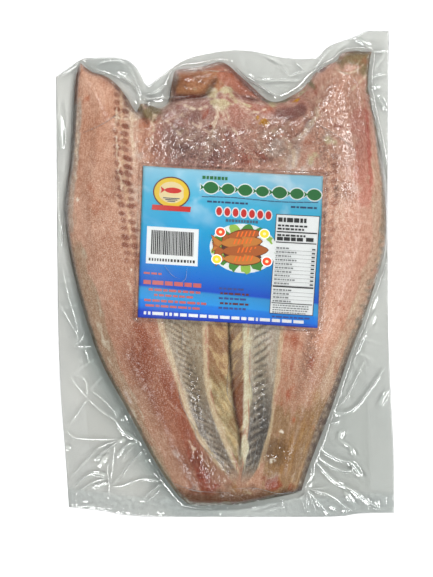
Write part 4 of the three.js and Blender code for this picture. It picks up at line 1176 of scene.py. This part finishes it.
# Pleats where the loose film doubles up: points of the line, half width
pleats = [
    # lower left corner
    ([(-112.4, -75.9), (-109.5, -81), (-100.7, -91.3)], 0.5),
    ([(-105.1, -75.2), (-101.5, -80.3), (-101.1, -89.8)], 0.55),
    ([(-100.7, -92), (-105.1, -97.8), (-113.2, -110.2)], 0.65),
    ([(-98.6, -85.4), (-89.8, -92), (-81, -101.5), (-79.6, -105.9)], 0.5),
    ([(-100, -92), (-94.2, -97.8), (-87.6, -102.9), (-81, -106.6)], 0.6),
    ([(-81, -106.6), (-77.4, -112.4), (-73.7, -116.8), (-67.9, -120.5), (-61.3, -124.1)], 1.0),
    ([(-116, -114.6), (-113.9, -117.5), (-108.8, -120.5), (-94.2, -121.5), (-79.6, -121.5)], 0.5),
    ([(-79.2, -122.3), (-86.1, -124.8), (-94.2, -128.8), (-100.7, -135.8), (-108, -143.8),
      (-114.6, -151.1)], 0.75),
    ([(-78.8, -123.4), (-85.4, -127.8), (-90.5, -131.4), (-92.7, -134.3), (-95.6, -135.8)], 1.0),
    ([(-81, -124.8), (-81.8, -135.8), (-84, -154.8)], 0.6),
    ([(-84, -135.8), (-86.1, -143.1), (-85, -154), (-85.4, -163.5)], 0.65),
    ([(-66.4, -124.1), (-70.8, -124.8), (-74.5, -127.8), (-77.4, -132.9), (-78.1, -135.8)], 1.0),
    ([(-66.4, -126.3), (-70.8, -129.9), (-75.2, -136.5)], 0.7),
    ([(-59.9, -127), (-62.8, -132.9), (-69.4, -138), (-78.1, -149.7), (-83.2, -155.5)], 0.7),
    ([(-60.6, -129.2), (-69.4, -139.4), (-75.9, -150.4)], 0.6),
    ([(-88.3, -148.2), (-92.7, -146.7), (-97.8, -146.7), (-103.7, -149.7), (-110.2, -156.2)], 1.1),
    ([(-87.6, -150.4), (-94.2, -151.8), (-101.5, -155.5), (-108, -160.6)], 0.7),
    ([(-86.1, -153.7), (-91.3, -154.8), (-97.1, -156.2)], 1.0),
    ([(-83.2, -156.2), (-75.2, -155.5), (-67.9, -152.6), (-59.1, -150.4), (-45.3, -152.6)], 0.6),
    ([(-45.3, -153.3), (-51.8, -157.7), (-56.9, -162.1), (-59.9, -167.2)], 0.9),
    ([(-47.5, -157.7), (-51.8, -162.8), (-56.9, -166.4)], 0.8),
    ([(-50.4, -142.5), (-48, -147.5), (-46, -151.1)], 0.9),
    # left side
    ([(-101.8, -60), (-102.2, -55.5), (-99.3, -65.7)], 0.6),
    ([(-121.2, -22.6), (-113.9, -35), (-108, -46), (-110, -53.3)], 0.6),
    ([(-119.2, 4.4), (-115, -15.3), (-109, -36.5), (-108, -48.9)], 0.55),
    ([(-102.5, -38.7), (-104.4, -46.7), (-110.2, -53.3)], 0.5), ([(-110.2, -53.3), (-97.1, -53.3)], 0.5),
    ([(-110.7, 151.8), (-109.9, 143.8), (-111.5, 133.1), (-112.7, 103.1), (-113.2, 78.8)], 0.7),
    ([(-114.8, 70), (-118, 44), (-118.6, 24)], 0.55),
    ([(-120.5, 144.8), (-112.4, 149.6), (-107.5, 152.9)], 0.5),
    # lower right corner
    ([(104.2, -41.7), (98.6, -53), (94.5, -64.4)], 1.2),
    ([(102.6, -64.4), (99.4, -70.1), (95.3, -79), (90.4, -88.8), (86.4, -94.4), (83.1, -96.8)], 0.6),
    ([(117.2, -69.3), (111.5, -77.4), (106.7, -83.9), (102.6, -89.6), (97.7, -96), (92.1, -100.5),
      (87.2, -102.1), (81.5, -100.9)], 0.9),
    ([(76.7, -109), (80.7, -109.4), (84.7, -107.4)], 0.8),
    ([(79, -101.5), (82, -103.4), (84.5, -104)], 1.0),
    ([(69.4, -126.1), (72.6, -130.1), (78.3, -133.7), (85.6, -137), (91.3, -138.2), (95.3, -141.5),
      (100.6, -148.8)], 1.1),
    ([(66.9, -132.6), (71, -136.6), (76.7, -140.2), (82.3, -143.1), (87.2, -144.7), (91.3, -144.7),
      (93.7, -141.5)], 0.95),
    ([(65.3, -135), (68.5, -139.9), (73.4, -145.5), (79.1, -151.2), (85.6, -155.3), (92.9, -158.5),
      (100.2, -163.4), (105, -167.4), (109.9, -169.9), (115.6, -174)], 1.1),
    ([(60.4, -157.7), (73.4, -160.9), (81.5, -165), (87.2, -169.9), (95.3, -174.7)], 0.75),
    ([(60.4, -157.7), (66.9, -165.8), (76.5, -176)], 0.7), ([(60.4, -157.7), (66.9, -173.9)], 0.6),
    ([(60.4, -157.7), (59.6, -172)], 0.6), ([(60.4, -157.7), (55.5, -165.8)], 0.6),
    ([(60.4, -157.7), (62, -154.5), (65.3, -152.4)], 0.6), ([(62.9, -142.3), (64.1, -148)], 0.8),
    ([(60.4, -157.7), (66, -157.6), (74, -156.8)], 0.5), ([(84, -85), (76.8, -103), (70.4, -120)], 0.5),
    ([(42, -165), (42.4, -173)], 0.6),
    # right side
    ([(112.7, -5.1), (119, -3.1)], 0.6),
    ([(105.9, 131.9), (107.5, 122.1), (109.9, 114), (112.3, 103.5), (115.6, 89.7), (117.4, 76.7)], 1.1),
    ([(104.2, 141.6), (109.9, 144.8), (118, 146.5)], 0.6), ([(105, 137.5), (112.3, 136.7)], 1.0),
    ([(113.2, 130.2), (118.6, 120.5)], 1.0), ([(107.2, 162), (105.6, 152), (104.4, 143)], 0.55),
    ([(117.5, 60), (118, 30), (115.5, 8)], 0.55),
    # mouth
    ([(80, 169), (74.2, 161.9), (68.5, 154.6), (65.3, 148.9)], 0.6),
    ([(49, 131.9), (57.2, 137.5), (65.3, 144.8), (74.2, 154.6)], 0.6),
    ([(43.4, 150.5), (46.6, 145.7)], 0.6), ([(47.5, 144.8), (53.1, 147.3), (58.8, 148.9)], 0.65),
    ([(52.3, 154.6), (58.8, 148.2)], 0.65),
    ([(12.6, 147.3), (20.7, 143.2), (30.4, 142.4), (45, 142.4), (56.4, 142.1)], 0.7),
    ([(6.9, 153), (15.8, 144), (23.1, 139.2), (30.4, 135.1), (37.7, 130.2)], 1.1),
    ([(99.3, 171), (104, 166.5), (106.5, 163.5)], 1.2), ([(90, 171.5), (97, 171.8), (103, 168)], 0.9),
    ([(107.5, 163), (119, 163)], 0.5),
    ([(-92.9, 154.2), (-86.4, 156.2), (-78.3, 156.4), (-71.8, 153.6)], 0.5),
    ([(-99.4, 151), (-91.3, 147.7), (-84, 146.5), (-76.7, 144.8)], 0.7),
    ([(-76, 144.8), (-68.5, 140.4), (-64.5, 134.8), (-62.9, 129.9)], 1.3),
    ([(-62.1, 129.9), (-55.6, 128.3), (-47.5, 129.1), (-35.3, 129.2), (-26, 129.1)], 0.75),
    ([(-58, 132), (-50, 134), (-42, 140)], 0.6), ([(-70, 152), (-66, 143), (-62, 134)], 0.5),
    # over the fish
    ([(-103.7, 102.6), (-88, 109), (-77.4, 116.5), (-70.1, 120.5)], 0.5),
    ([(63.5, 110.2), (80, 101), (94.2, 90.5)], 0.5), ([(81, 148.9), (90, 145), (97.1, 138.7)], 0.5),
    ([(17.5, -52.6), (17.9, -72.3), (19.7, -80.3), (21.2, -102.2)], 0.5),
    ([(28.5, -83.2), (27.7, -103.7), (25.6, -111.7)], 0.55),
    ([(24.5, -119), (21.9, -131.8), (19.7, -142.3)], 0.55),
    ([(-34, -78), (-32.5, -92), (-27, -104), (-22, -112), (-20.5, -120), (-14, -128), (-4, -137),
      (5, -146)], 0.55),
    ([(-14.2, -113.1), (-13.9, -119), (-10.9, -124.1)], 0.5),
    ([(3.5, -62), (2, -75), (2, -88.3), (8.5, -100)], 0.5), ([(-30.7, -35), (-31.5, -55.5)], 0.5),
    ([(-44.5, 6.6), (-38.7, -0.7), (-32.9, -3.6)], 0.35),
    ([(-27.7, 6.6), (-28.5, -2.9), (-32.9, -7.3)], 0.35),
    ([(-47.4, -148.9), (-30, -155.5), (-18.2, -158.4), (4, -159.4)], 0.55),
    ([(4, -157), (21.9, -156.2), (40.9, -160.5), (60.4, -157.7)], 0.6),
    ([(-28, 148.6), (-10, 147.6), (4, 147)], 0.5),
]

# Dents whose flat side sends light to the camera: x, y, half length, half width, turn of the long side in
# degrees
dents = [
    (-72.6, -105.1, 2.2, 1.5, 60), (-76.3, -105.9, 1.4, 1.2, 30), (-75.9, -121.2, 2.2, 1.4, 20),
    (-88, -136.9, 4.4, 2.1, 45), (-92.5, -134, 2.6, 1.4, 30), (-76, -130.5, 3.4, 1.3, 55),
    (-93.5, -147, 4.6, 1.3, -5), (-91.5, -154.6, 4.4, 1.3, 14), (-115.6, -127, 1.8, 1.4, 0),
    (-50, -145, 3.2, 1.4, -62), (-51.5, -160.5, 3.2, 1.4, 45), (-70, -119, 4, 1.3, -30),
    (98.6, -52.6, 9, 1.5, 67), (117, -91.4, 4.8, 2.0, 62), (84.4, -87.1, 1.6, 1.4, 0),
    (81.7, -103.2, 2.6, 1.4, -30), (86, -118, 3.0, 2.0, 65), (88.8, -126, 3.4, 1.4, -30),
    (94.9, -130.4, 2.8, 1.5, -50), (97.4, -143.4, 5.6, 2.3, -48), (88.4, -144.6, 3.6, 1.5, -10),
    (84, -154.4, 4, 1.4, -30), (109.4, -169.6, 3, 1.9, -40), (93.3, -165, 5.6, 1.8, -48),
    (79, -171.5, 2.6, 1.4, -30), (87.6, -174, 1.8, 1.3, -20), (33, 159.4, 6.4, 1.7, -40),
    (101.5, 169.6, 6, 1.6, -32), (16.5, 145.6, 5, 2.2, -42), (33.8, 132.2, 5, 1.5, -28),
    (29.6, 142.4, 3.4, 1.3, 0), (-73.5, 143.4, 5, 2.2, -32), (-65.2, 136.4, 4, 1.4, -58),
    (-38, 129.2, 4.4, 1.3, 0), (110.3, 112.6, 11, 1.5, -72), (116, 125, 5, 1.8, -60),
    (108.8, 137.2, 3.6, 1.4, -5), (-119.5, 108, 12, 2.2, 90), (-121, 40, 14, 1.6, 90),
    (115.5, 4, 5, 1.5, 80), (109.5, -34, 4, 1.5, 75), (-103, -170, 4.6, 1.4, 4), (20, -171.5, 4, 1.3, 0),
    (34, -172, 3, 1.3, 10), (-56, -137, 2.6, 1.3, 50), (110, -22, 6, 1.4, 72),
]


# where the film stands off a little and sparkles; elsewhere it clings to the wet flesh and looks dull
shiny = [
    (84, 108, 24, 38, 0, .72), (34, 96, 26, 18, 0, .68), (0, 92, 30, 16, 0, .7), (-36, 94, 24, 14, 0, .8),
    (-76, 64, 10, 14, 0, .3), (86, 62, 10, 9, 0, .6), (-12, -142, 22, 12, -30, .6),
    (38, -130, 12, 10, 0, .6), (-22, -84, 5, 28, 8, .6), (26, -88, 6, 30, 0, .7), (62, -52, 5, 34, -12, .5),
    (-24, 140, 14, 7, 0, .5), (22, 134, 14, 7, -40, .8), (-60, -70, 14, 30, 25, .15),
    (-50, 110, 8, 10, 0, .5), (70, 10, 6, 40, 0, .3),
]


# the film rises softly towards each pleat
def pressPleats(x, y):
    pressed = np.zeros(x.shape)
    for points, halfWidth in pleats:
        reach = film["pressReach"] + halfWidth
        line = smoothLine(points, 6 * (len(points) - 1))
        low, high = line.min(0) - reach, line.max(0) + reach
        near = (x > low[0]) & (x < high[0]) & (y > low[1]) & (y < high[1])
        away, place = nearLine(x[near], y[near], line)
        ends = np.minimum(1, 5 * np.minimum(place + 0.05, 1.05 - place))
        rise = film["pressRise"] * halfWidth * ends * np.cos(np.clip(away / reach, 0, 1) * np.pi / 2) ** 2
        pressed[near] = np.maximum(pressed[near], rise)
    return pressed


# a dent leans towards the softbox that stands most squarely off its long side
def leanDents(x, y):
    leaned, share = np.zeros(x.shape), np.zeros(x.shape)
    for cx, cy, along, across, turn in dents:
        along, across, t = film["dentLength"] * along, film["dentWidth"] * across, math.radians(turn)
        b = math.radians(max(softboxes["watts"], key=lambda lamp: abs(math.sin(math.radians(lamp) - t))))
        u = (x - cx) * math.cos(t) + (y - cy) * math.sin(t)
        v = (y - cy) * math.cos(t) - (x - cx) * math.sin(t)
        window = np.exp(-((u / along) ** 2 + (v / across) ** 2) ** 2)
        leaned += window * glintSlope * (across - (x - cx) * math.cos(b) - (y - cy) * math.sin(b))
        share = np.maximum(share, window)
    return leaned, share


rows, columns = film["rows"], film["columns"]
bx, by = edgeGrid(bag["left"], bag["right"], bag["foot"], bag["mouth"], columns, rows, crowd=film["crowd"])
contentDepth = depthInside(bx, by, fishOutline)
fromEdge = np.maximum(depthInside(bx, by, bagOutline), 0)
bearing = np.arctan2(by, bx)
edgeWave = 0.5 + 0.3 * np.sin(7 * bearing + 0.6) + 0.2 * np.sin(13 * bearing + 2)
lift = film["edgeLift"] * edgeWave * (1 - smoothStep(fromEdge, 0, film["liftReach"]))
lift = lift * smoothStep(-contentDepth, 1, 12)
backHeight = film["back"] + lift
under = np.maximum(np.where(contentDepth > 0, fishTop(bx, by, contentDepth), 0), backHeight) + film["gap"]
under = np.where(awayFromLabel(bx, by) < 2.0, np.maximum(under, labelTop(bx, by) + film["overLabel"]), under)
height = under.copy()
pull = film["sag"] * (0.2 + 0.8 * smoothStep(awayFromLabel(bx, by), 8, 16))[1:-1, 1:-1]
for _ in range(film["passes"]):
    around = (height[:-2, 1:-1] + height[2:, 1:-1] + height[1:-1, :-2] + height[1:-1, 2:]) / 4
    height[1:-1, 1:-1] = np.maximum(around - pull, under[1:-1, 1:-1])

margin = smoothStep(-contentDepth, 0.5, 5)
inner = smoothStep(fromEdge, 0, 3)
leaned, dented = leanDents(bx, by)
radial = np.clip(1 - 3.2 * np.abs(lumps(bearing * 120, contentDepth * 0.25, 11, 51, 2)), 0, 1) ** 1.5
radial *= np.exp(-((-contentDepth - 7) / 9) ** 2)
footLine = smoothLine(bag["foot"])
fromFoot = by - np.interp(bx, footLine[:, 0], footLine[:, 1])
footSeal = 1 - smoothStep(fromFoot, film["footSeal"], film["footSeal"] + film["sealFade"])
coarse, fine = film["crumple"]
crumple = coarse * np.abs(lumps(bx * 1.3 + by * 0.5, by, 5, 53, 3)) + fine * np.abs(lumps(bx, by, 2.6, 57, 1))
crumple = footSeal * crumple
swell = 0.5 + 0.5 * lumps(bx, by, film["waveLength"], 52, 2)
wave = smoothStep(fromEdge, 0, 16) * film["waveHeight"] * swell
loose = film["pleatHeight"] * radial + crumple + wave
height += inner * (pressPleats(bx, by) + margin * (1 - dented) * loose + leaned)
wrinkled = smoothStep(contentDepth, 0, 4) * smoothStep(awayFromLabel(bx, by), 1, 4)
glinting = stainField(bx, by, shiny)
height += wrinkled * (0.25 + 0.75 * glinting) * film["wrinkle"] * lumps(bx, by, film["wrinkleWidth"], 54, 2)
height = np.maximum(height, backHeight + film["least"])
for edge in gridEdges:
    height[edge] = backHeight[edge] + film["edgeGap"]
frontPoints = np.stack([bx.ravel(), by.ravel(), height.ravel()], 1)
every = film["backEvery"]
sparse = np.s_[::every, ::every]
backPoints = np.stack([bx[sparse].ravel(), by[sparse].ravel(), backHeight[sparse].ravel()], 1)
frontCount = len(frontPoints)
frontFaces = gridFaces(rows, columns)
backFaces = gridFaces(rows // every, columns // every, frontCount, False)
frontRing, backRing = gridBorder(rows, columns), gridBorder(rows // every, columns // every, frontCount)
seam = []  # the cut edge, from every back point to a fan of front points
for i, b in enumerate(backRing):
    fan = [frontRing[(every * i + k) % len(frontRing)] for k in range(every + 1)]
    nextBack = backRing[(i + 1) % len(backRing)]
    seam += [[b, fan[1], fan[0]], [b, nextBack, fan[1]]]
    seam += [[nextBack, fan[k + 1], fan[k]] for k in range(1, every)]


# Clear polyamide and polyethylene vacuum film, 0.08 mm: hardly tinted, glossy on both faces, faintly hazy
# where it is sealed or folded. Its wall is drawn as one face, so the tints stand for what its thickness
# takes away.
filmFinish = {
    "haze": "#f6f8f7", "ior": 1.5, "roughness": (0.08, 0.26),  # loose, and clinging to the flesh
    "crinkle": 0.3, "cushionPitch": 0.9,  # crinkles in a mm, and mm for a cushion and its hollow
    "fineRelief": 3.2, "wideRelief": 0.2, "cushionRelief": 0.005,  # how much each counts
    "reliefHeight": 0.5,  # mm
}


def makeFilmMaterial(name, tint, shade, haze, gloss):
    material, tree = newMaterial(name)
    place = addNode(tree, "ShaderNodeTexCoord")
    inMm = addNode(tree, "ShaderNodeMapping",
                   inputs={"Vector": place.outputs["Object"], "Scale": (1000,) * 3}).outputs[0]
    split = addNode(tree, "ShaderNodeSeparateXYZ", inputs={0: inMm})
    creased = addNode(tree, "ShaderNodeTexNoise", inputs={
        "Vector": inMm, "Scale": filmFinish["crinkle"], "Detail": 3, "Distortion": 0.6})
    crinkle = addNode(tree, "ShaderNodeTexNoise", inputs={
        "Vector": inMm, "Scale": filmFinish["crinkle"], "Detail": 1.5})
    # the haze field carries painted sheen as well as haze
    contact, hazy, shaded, cling = (
        addNode(tree, "ShaderNodeAttribute", {"attribute_name": field}).outputs["Fac"]
        for field in ("contact", "haze", "shade", "cling"))
    loose = addNode(tree, "ShaderNodeMath", {"operation": "MULTIPLY_ADD", "use_clamp": True},
                    {0: cling, 1: -0.75, 2: contact}).outputs[0]
    fine = addNode(tree, "ShaderNodeMath", {"operation": "MULTIPLY"},
                   {0: crinkle.outputs["Fac"], 1: loose}).outputs[0]
    wide = addNode(tree, "ShaderNodeMath", {"operation": "MULTIPLY"},
                   {0: creased.outputs["Fac"], 1: filmFinish["wideRelief"]}).outputs[0]
    both = addNode(tree, "ShaderNodeMath", {"operation": "MULTIPLY_ADD"},
                   {0: fine, 1: filmFinish["fineRelief"], 2: wide}).outputs[0]
    # embossed grain: little cushions in even rows
    dots = []
    for axis in (0, 1):
        angle = addNode(tree, "ShaderNodeMath", {"operation": "MULTIPLY"}, {
            0: split.outputs[axis], 1: 2 * math.pi / filmFinish["cushionPitch"]}).outputs[0]
        dots.append(addNode(tree, "ShaderNodeMath", {"operation": "SINE"}, {0: angle}).outputs[0])
    cushions = addNode(tree, "ShaderNodeMath", {"operation": "MULTIPLY"}, {0: dots[0], 1: dots[1]}).outputs[0]
    relief = addNode(tree, "ShaderNodeMath", {"operation": "MULTIPLY_ADD"},
                     {0: cushions, 1: filmFinish["cushionRelief"], 2: both}).outputs[0]
    bump = addNode(tree, "ShaderNodeBump", inputs={
        "Height": relief, "Strength": 1.0, "Distance": filmFinish["reliefHeight"] * mm}).outputs[0]
    through = addNode(tree, "ShaderNodeMix", {"data_type": "RGBA"},
                      {0: shaded, 6: hexColour(tint), 7: hexColour(shade)}).outputs[2]
    glassy = addNode(tree, "ShaderNodeBsdfTransparent", inputs={"Color": through})
    milk = addNode(tree, "ShaderNodeBsdfDiffuse",
                   inputs={"Color": hexColour(filmFinish["haze"]), "Normal": bump})
    bright, blurred = filmFinish["roughness"]
    dull = addNode(tree, "ShaderNodeMapRange", inputs={
        "Value": cling, "To Min": bright, "To Max": blurred}).outputs["Result"]
    shine = addNode(tree, "ShaderNodeBsdfGlossy",
                    inputs={"Color": (1, 1, 1, 1), "Roughness": dull, "Normal": bump})
    cloudy = addNode(tree, "ShaderNodeMath", {"operation": "MULTIPLY_ADD"}, {0: hazy, 1: 0.3, 2: haze})
    body = addNode(tree, "ShaderNodeMixShader",
                   inputs={0: cloudy.outputs[0], 1: glassy.outputs[0], 2: milk.outputs[0]})
    edge = addNode(tree, "ShaderNodeFresnel", inputs={"IOR": filmFinish["ior"], "Normal": bump})
    # where the film clings to the wet flesh only its outer face reflects
    outer = addNode(tree, "ShaderNodeMath", {"operation": "MULTIPLY_ADD"},
                    {0: contact, 1: -0.1 * gloss, 2: gloss}).outputs[0]
    faces = addNode(tree, "ShaderNodeMath", {"operation": "MULTIPLY_ADD"},
                    {0: cling, 1: -0.72 * gloss, 2: outer}).outputs[0]
    mirror = addNode(tree, "ShaderNodeMath", {"operation": "MULTIPLY", "use_clamp": True},
                     {0: edge.outputs[0], 1: faces})
    whole = addNode(tree, "ShaderNodeMixShader",
                    inputs={0: mirror.outputs[0], 1: body.outputs[0], 2: shine.outputs[0]})
    addNode(tree, "ShaderNodeOutputMaterial", inputs={"Surface": whole.outputs[0]})
    return material


# name, tint, tint where the painted shade is full, haze and strength of the shine
frontFilm = makeFilmMaterial("vacuumFilmFront", "#fcfdfc", "#dde2e0", 0.008, 2.0)
backFilm = makeFilmMaterial("vacuumFilmBack", "#f4f3f0", "#c4cac7", 0.02, 1.0)
pleatFilm = makeFilmMaterial("vacuumFilmPleat", "#fcfdfc", "#ccd3d0", 0.3, 2.4)
filmBag = makePiece("film_bag", np.vstack([frontPoints, backPoints]), frontFaces + backFaces + seam,
                    frontFilm)
filmBag.data.materials.append(backFilm)
which = np.zeros(len(filmBag.data.polygons), np.int32)
which[len(frontFaces):len(frontFaces) + len(backFaces)] = 1
filmBag.data.polygons.foreach_set("material_index", which)
steep = np.hypot(*np.gradient(height)) / np.hypot(*np.gradient(bx))
# painted light and shade of broad film facets: a slow random field that darkens and lightens the back film
# and adds haze on the margins
facetLightAndShade = 0.5 + 0.5 * lumps(bx + 0.6 * by, by, 30, 61, 2)
# painted shade: the front film is tinted darker where it is steep, on fold flanks and where it falls off the
# fish
frontShade = np.clip(1.1 * (steep - 0.12), 0, 1) * margin
# painted shade: the foot of the bag is tinted a little darker and cooler
coolFoot = smoothStep(by + 0.02 * bx, -95, -100)  # the foot of the bag lies in cooler light
sideBand = 1 - smoothStep(fromEdge, film["sideSeal"], film["sideSeal"] + 1)
# painted shadow: a soft shade along the left and lower rim of the fish, drawn in the back film
shadow = np.exp(-(contentDepth / 11) ** 2) * smoothStep(-bx, -20, 30) * smoothStep(by, 20, -40)
# painted shade: the back film is tinted darker towards the right, more so at the lower right
backShade = 0.1 + 0.12 * smoothStep(bx, -60, 40) + 0.18 * smoothStep(bx, 40, 80) * smoothStep(by, 0, -90)
backShade += 0.14 * (facetLightAndShade - 0.5)
backShade += 0.05 * coolFoot + 0.4 * footSeal + 0.85 * shadow
# painted shade in the back film at the upper left, beside the notch and along the head end
backShade += 0.5 * stainField(bx, by, [
    (-86, 151, 26, 10, 0, 1), (-52, 138, 12, 10, 0, .6), (20, 140, 40, 10, 0, .15)])
# haze of the seals and folds, with painted sheen on the broad facets of the margins
hazeAndSheenField = np.clip(0.22 * footSeal + 0.22 * facetLightAndShade * margin + 0.15 * sideBand, 0, 1) * margin
clinging = wrinkled * (1 - glinting) + 0.75 * (1 - smoothStep(awayFromLabel(bx, by), 0, 3))
onBack = np.zeros(len(backPoints))
for name, front, back in (("haze", hazeAndSheenField, onBack),
                          ("shade", frontShade, np.clip(backShade, 0, 1)[sparse]),
                          ("cling", clinging, onBack), ("contact", wrinkled, onBack)):
    addField(filmBag, name, np.concatenate([front.ravel(), back.ravel()]))
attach(filmBag, "root")
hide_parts("vacuum_bag")
print("film drawn over the fish:", len(filmBag.data.polygons), "faces")


# Follows each line over the film and lays a low ridge on it, tapered at both ends, with two flat sides
def makePleatTree():
    tree = bpy.data.node_groups.new("pleatRidge", "GeometryNodeTree")
    given = addSockets(tree, {"Geometry": "Geometry", "Film": "Object", "Step": "Float", "Slope": "Float",
                              "Taper": "Float", "End": "Float", "Least": "Float", "Most": "Float",
                              "Finish": "Material"})
    even = addNode(tree, "GeometryNodeResampleCurve", {"mode": "LENGTH"},
                   {"Curve": given["Geometry"], "Length": given["Step"]})
    below = addNode(tree, "GeometryNodeObjectInfo", inputs={"Object": given["Film"]})
    found = addNode(tree, "GeometryNodeRaycast", inputs={
        "Target Geometry": below.outputs["Geometry"], "Ray Direction": (0, 0, -1), "Ray Length": 1.0})
    missed = addNode(tree, "FunctionNodeBooleanMath", {"operation": "NOT"}, {0: found.outputs["Is Hit"]})
    # points past the film's cut edge are left out
    onFilm = addNode(tree, "GeometryNodeDeleteGeometry", {"domain": "POINT"},
                     {"Geometry": even.outputs[0], "Selection": missed.outputs[0]})
    laid = addNode(tree, "GeometryNodeSetPosition", inputs={
        "Geometry": onFilm.outputs[0], "Position": found.outputs["Hit Position"]})
    place = addNode(tree, "GeometryNodeSplineParameter").outputs["Factor"]
    fromEnd = addNode(tree, "ShaderNodeMath", {"operation": "PINGPONG"}, {0: place, 1: 0.5}).outputs[0]
    taper = addNode(tree, "ShaderNodeMapRange", inputs={
        "Value": fromEnd, "From Max": given["Taper"], "To Min": given["End"]}).outputs[0]
    radius = addNode(tree, "GeometryNodeInputRadius").outputs[0]
    uneven = addNode(tree, "ShaderNodeTexNoise", inputs={"Scale": 140, "Detail": 1}).outputs[0]
    swell = addNode(tree, "ShaderNodeMapRange", inputs={
        "Value": uneven, "From Min": 0.32, "From Max": 0.68, "To Min": given["Least"],
        "To Max": given["Most"]})
    tapered = addNode(tree, "ShaderNodeMath", {"operation": "MULTIPLY"}, {0: radius, 1: taper}).outputs[0]
    size = addNode(tree, "ShaderNodeMath", {"operation": "MULTIPLY"},
                   {0: tapered, 1: swell.outputs[0]}).outputs[0]
    upright = addNode(tree, "GeometryNodeSetCurveNormal", {"mode": "Z_UP"}, {"Curve": laid.outputs[0]})
    diamond = addNode(tree, "GeometryNodeCurvePrimitiveCircle", {"mode": "RADIUS"},
                      {"Resolution": 4, "Radius": 1.0})
    scale = addNode(tree, "ShaderNodeCombineXYZ", inputs={"X": given["Slope"], "Y": 1.0, "Z": 1.0})
    profile = addNode(tree, "GeometryNodeTransform",
                      inputs={"Geometry": diamond.outputs[0], "Scale": scale.outputs[0]})
    swept = addNode(tree, "GeometryNodeCurveToMesh", inputs={
        "Curve": upright.outputs[0], "Profile Curve": profile.outputs[0], "Scale": size, "Fill Caps": True})
    flat = addNode(tree, "GeometryNodeSetShadeSmooth",
                   inputs={"Geometry": swept.outputs[0], "Shade Smooth": False})
    real = addNode(tree, "GeometryNodeRealizeInstances", inputs={"Geometry": flat.outputs[0]})
    made = addNode(tree, "GeometryNodeSetMaterial",
                   inputs={"Geometry": real.outputs[0], "Material": given["Finish"]})
    addNode(tree, "NodeGroupOutput", inputs={0: made.outputs[0]})
    return tree


ridge = {
    "step": 1.2, "start": 50,  # mm: between points, and the height from which they drop on the film
    "taper": 0.22, "end": 0.2, "least": 0.45, "most": 1.4,  # shares of a pleat's length and of its width
}
pleatLines = bpy.data.curves.new("pleat_lines", "CURVE")
pleatLines.dimensions = "3D"
for points, halfWidth in pleats:
    line = smoothLine(points, 8 * (len(points) - 1))
    spline = pleatLines.splines.new("POLY")
    spline.points.add(len(line) - 1)
    for point, (x, y) in zip(spline.points, line):
        point.co = (x * mm, y * mm, ridge["start"] * mm, 1)
        point.radius = halfWidth * mm
pleatGuide = addObject("pleat_lines", pleatLines)
ridgeMesh = applyTree(pleatGuide, makePleatTree(), {
    "Film": filmBag, "Step": ridge["step"] * mm, "Slope": glintSlope, "Taper": ridge["taper"],
    "End": ridge["end"], "Least": ridge["least"], "Most": ridge["most"], "Finish": pleatFilm})
bpy.data.objects.remove(pleatGuide)
filmPleats = addObject("film_pleats", ridgeMesh)
# the pleats' haze whitens them at every bearing: partly the whitening of creased film, partly painted
# highlight
for name, value in (("haze", 0.35), ("shade", 0.0), ("contact", 0.2), ("cling", 0.0)):
    addField(filmPleats, name, np.full(len(ridgeMesh.vertices), value))
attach(filmPleats, "root")
print("pleats laid:", len(ridgeMesh.polygons), "faces")


# The photograph shows 316 x 421 mm at the pack, straight from above; sizes in mm
shot = {"height": 421.2, "centre": (-6.2, -10.6), "distance": 1500, "sensor": 24.0, "plane": 8}
studio = {
    "table": "#f2f2f2", "roughness": 0.9, "halfSize": 3, "drop": 0.0002,  # metres
    "light": "#f4f6f8", "lightStrength": 0.3,
}

camera = addObject("camera", bpy.data.cameras.new("camera"))
camera.data.sensor_fit = "VERTICAL"
camera.data.sensor_height = shot["sensor"]
camera.data.lens = shot["sensor"] * shot["distance"] / shot["height"]
camera.data.clip_start = 0.01
camera.location = (shot["centre"][0] * mm, shot["centre"][1] * mm, (shot["plane"] + shot["distance"]) * mm)
bpy.context.scene.camera = camera

floorMesh = bpy.data.meshes.new("floor")
corners = ((-1, -1), (1, -1), (1, 1), (-1, 1))
floorMesh.from_pydata([(x * studio["halfSize"], y * studio["halfSize"], 0) for x, y in corners], [],
                      [(0, 1, 2, 3)])
floor = addObject("floor", floorMesh)
floor.location.z = -studio["drop"]
floorMaterial, floorTree = newMaterial("whiteTable")  # painted board, matt
floorShader = addNode(floorTree, "ShaderNodeBsdfPrincipled", inputs={
    "Base Color": hexColour(studio["table"]), "Roughness": studio["roughness"]})
addNode(floorTree, "ShaderNodeOutputMaterial", inputs={"Surface": floorShader.outputs[0]})
floorMesh.materials.append(floorMaterial)

world = bpy.data.worlds.new("studio")
world.use_nodes = True
background = world.node_tree.nodes["Background"]
background.inputs["Color"].default_value = hexColour(studio["light"])
background.inputs["Strength"].default_value = studio["lightStrength"]
bpy.context.scene.world = world

for turn, watts in softboxes["watts"].items():
    lamp = bpy.data.lights.new("softbox", "AREA")
    lamp.shape = "RECTANGLE"
    lamp.size, lamp.size_y, lamp.energy = softboxes["width"], softboxes["length"], watts
    box = addObject("softbox", lamp)
    a, b, away = math.radians(turn), math.radians(softboxes["tilt"]), softboxes["distance"]
    box.location = (away * math.sin(b) * math.cos(a), away * math.sin(b) * math.sin(a), away * math.cos(b))
    box.rotation_euler = (0, b, a)

bpy.context.scene.view_settings.view_transform = "Standard"
print("stage, lights and camera set")
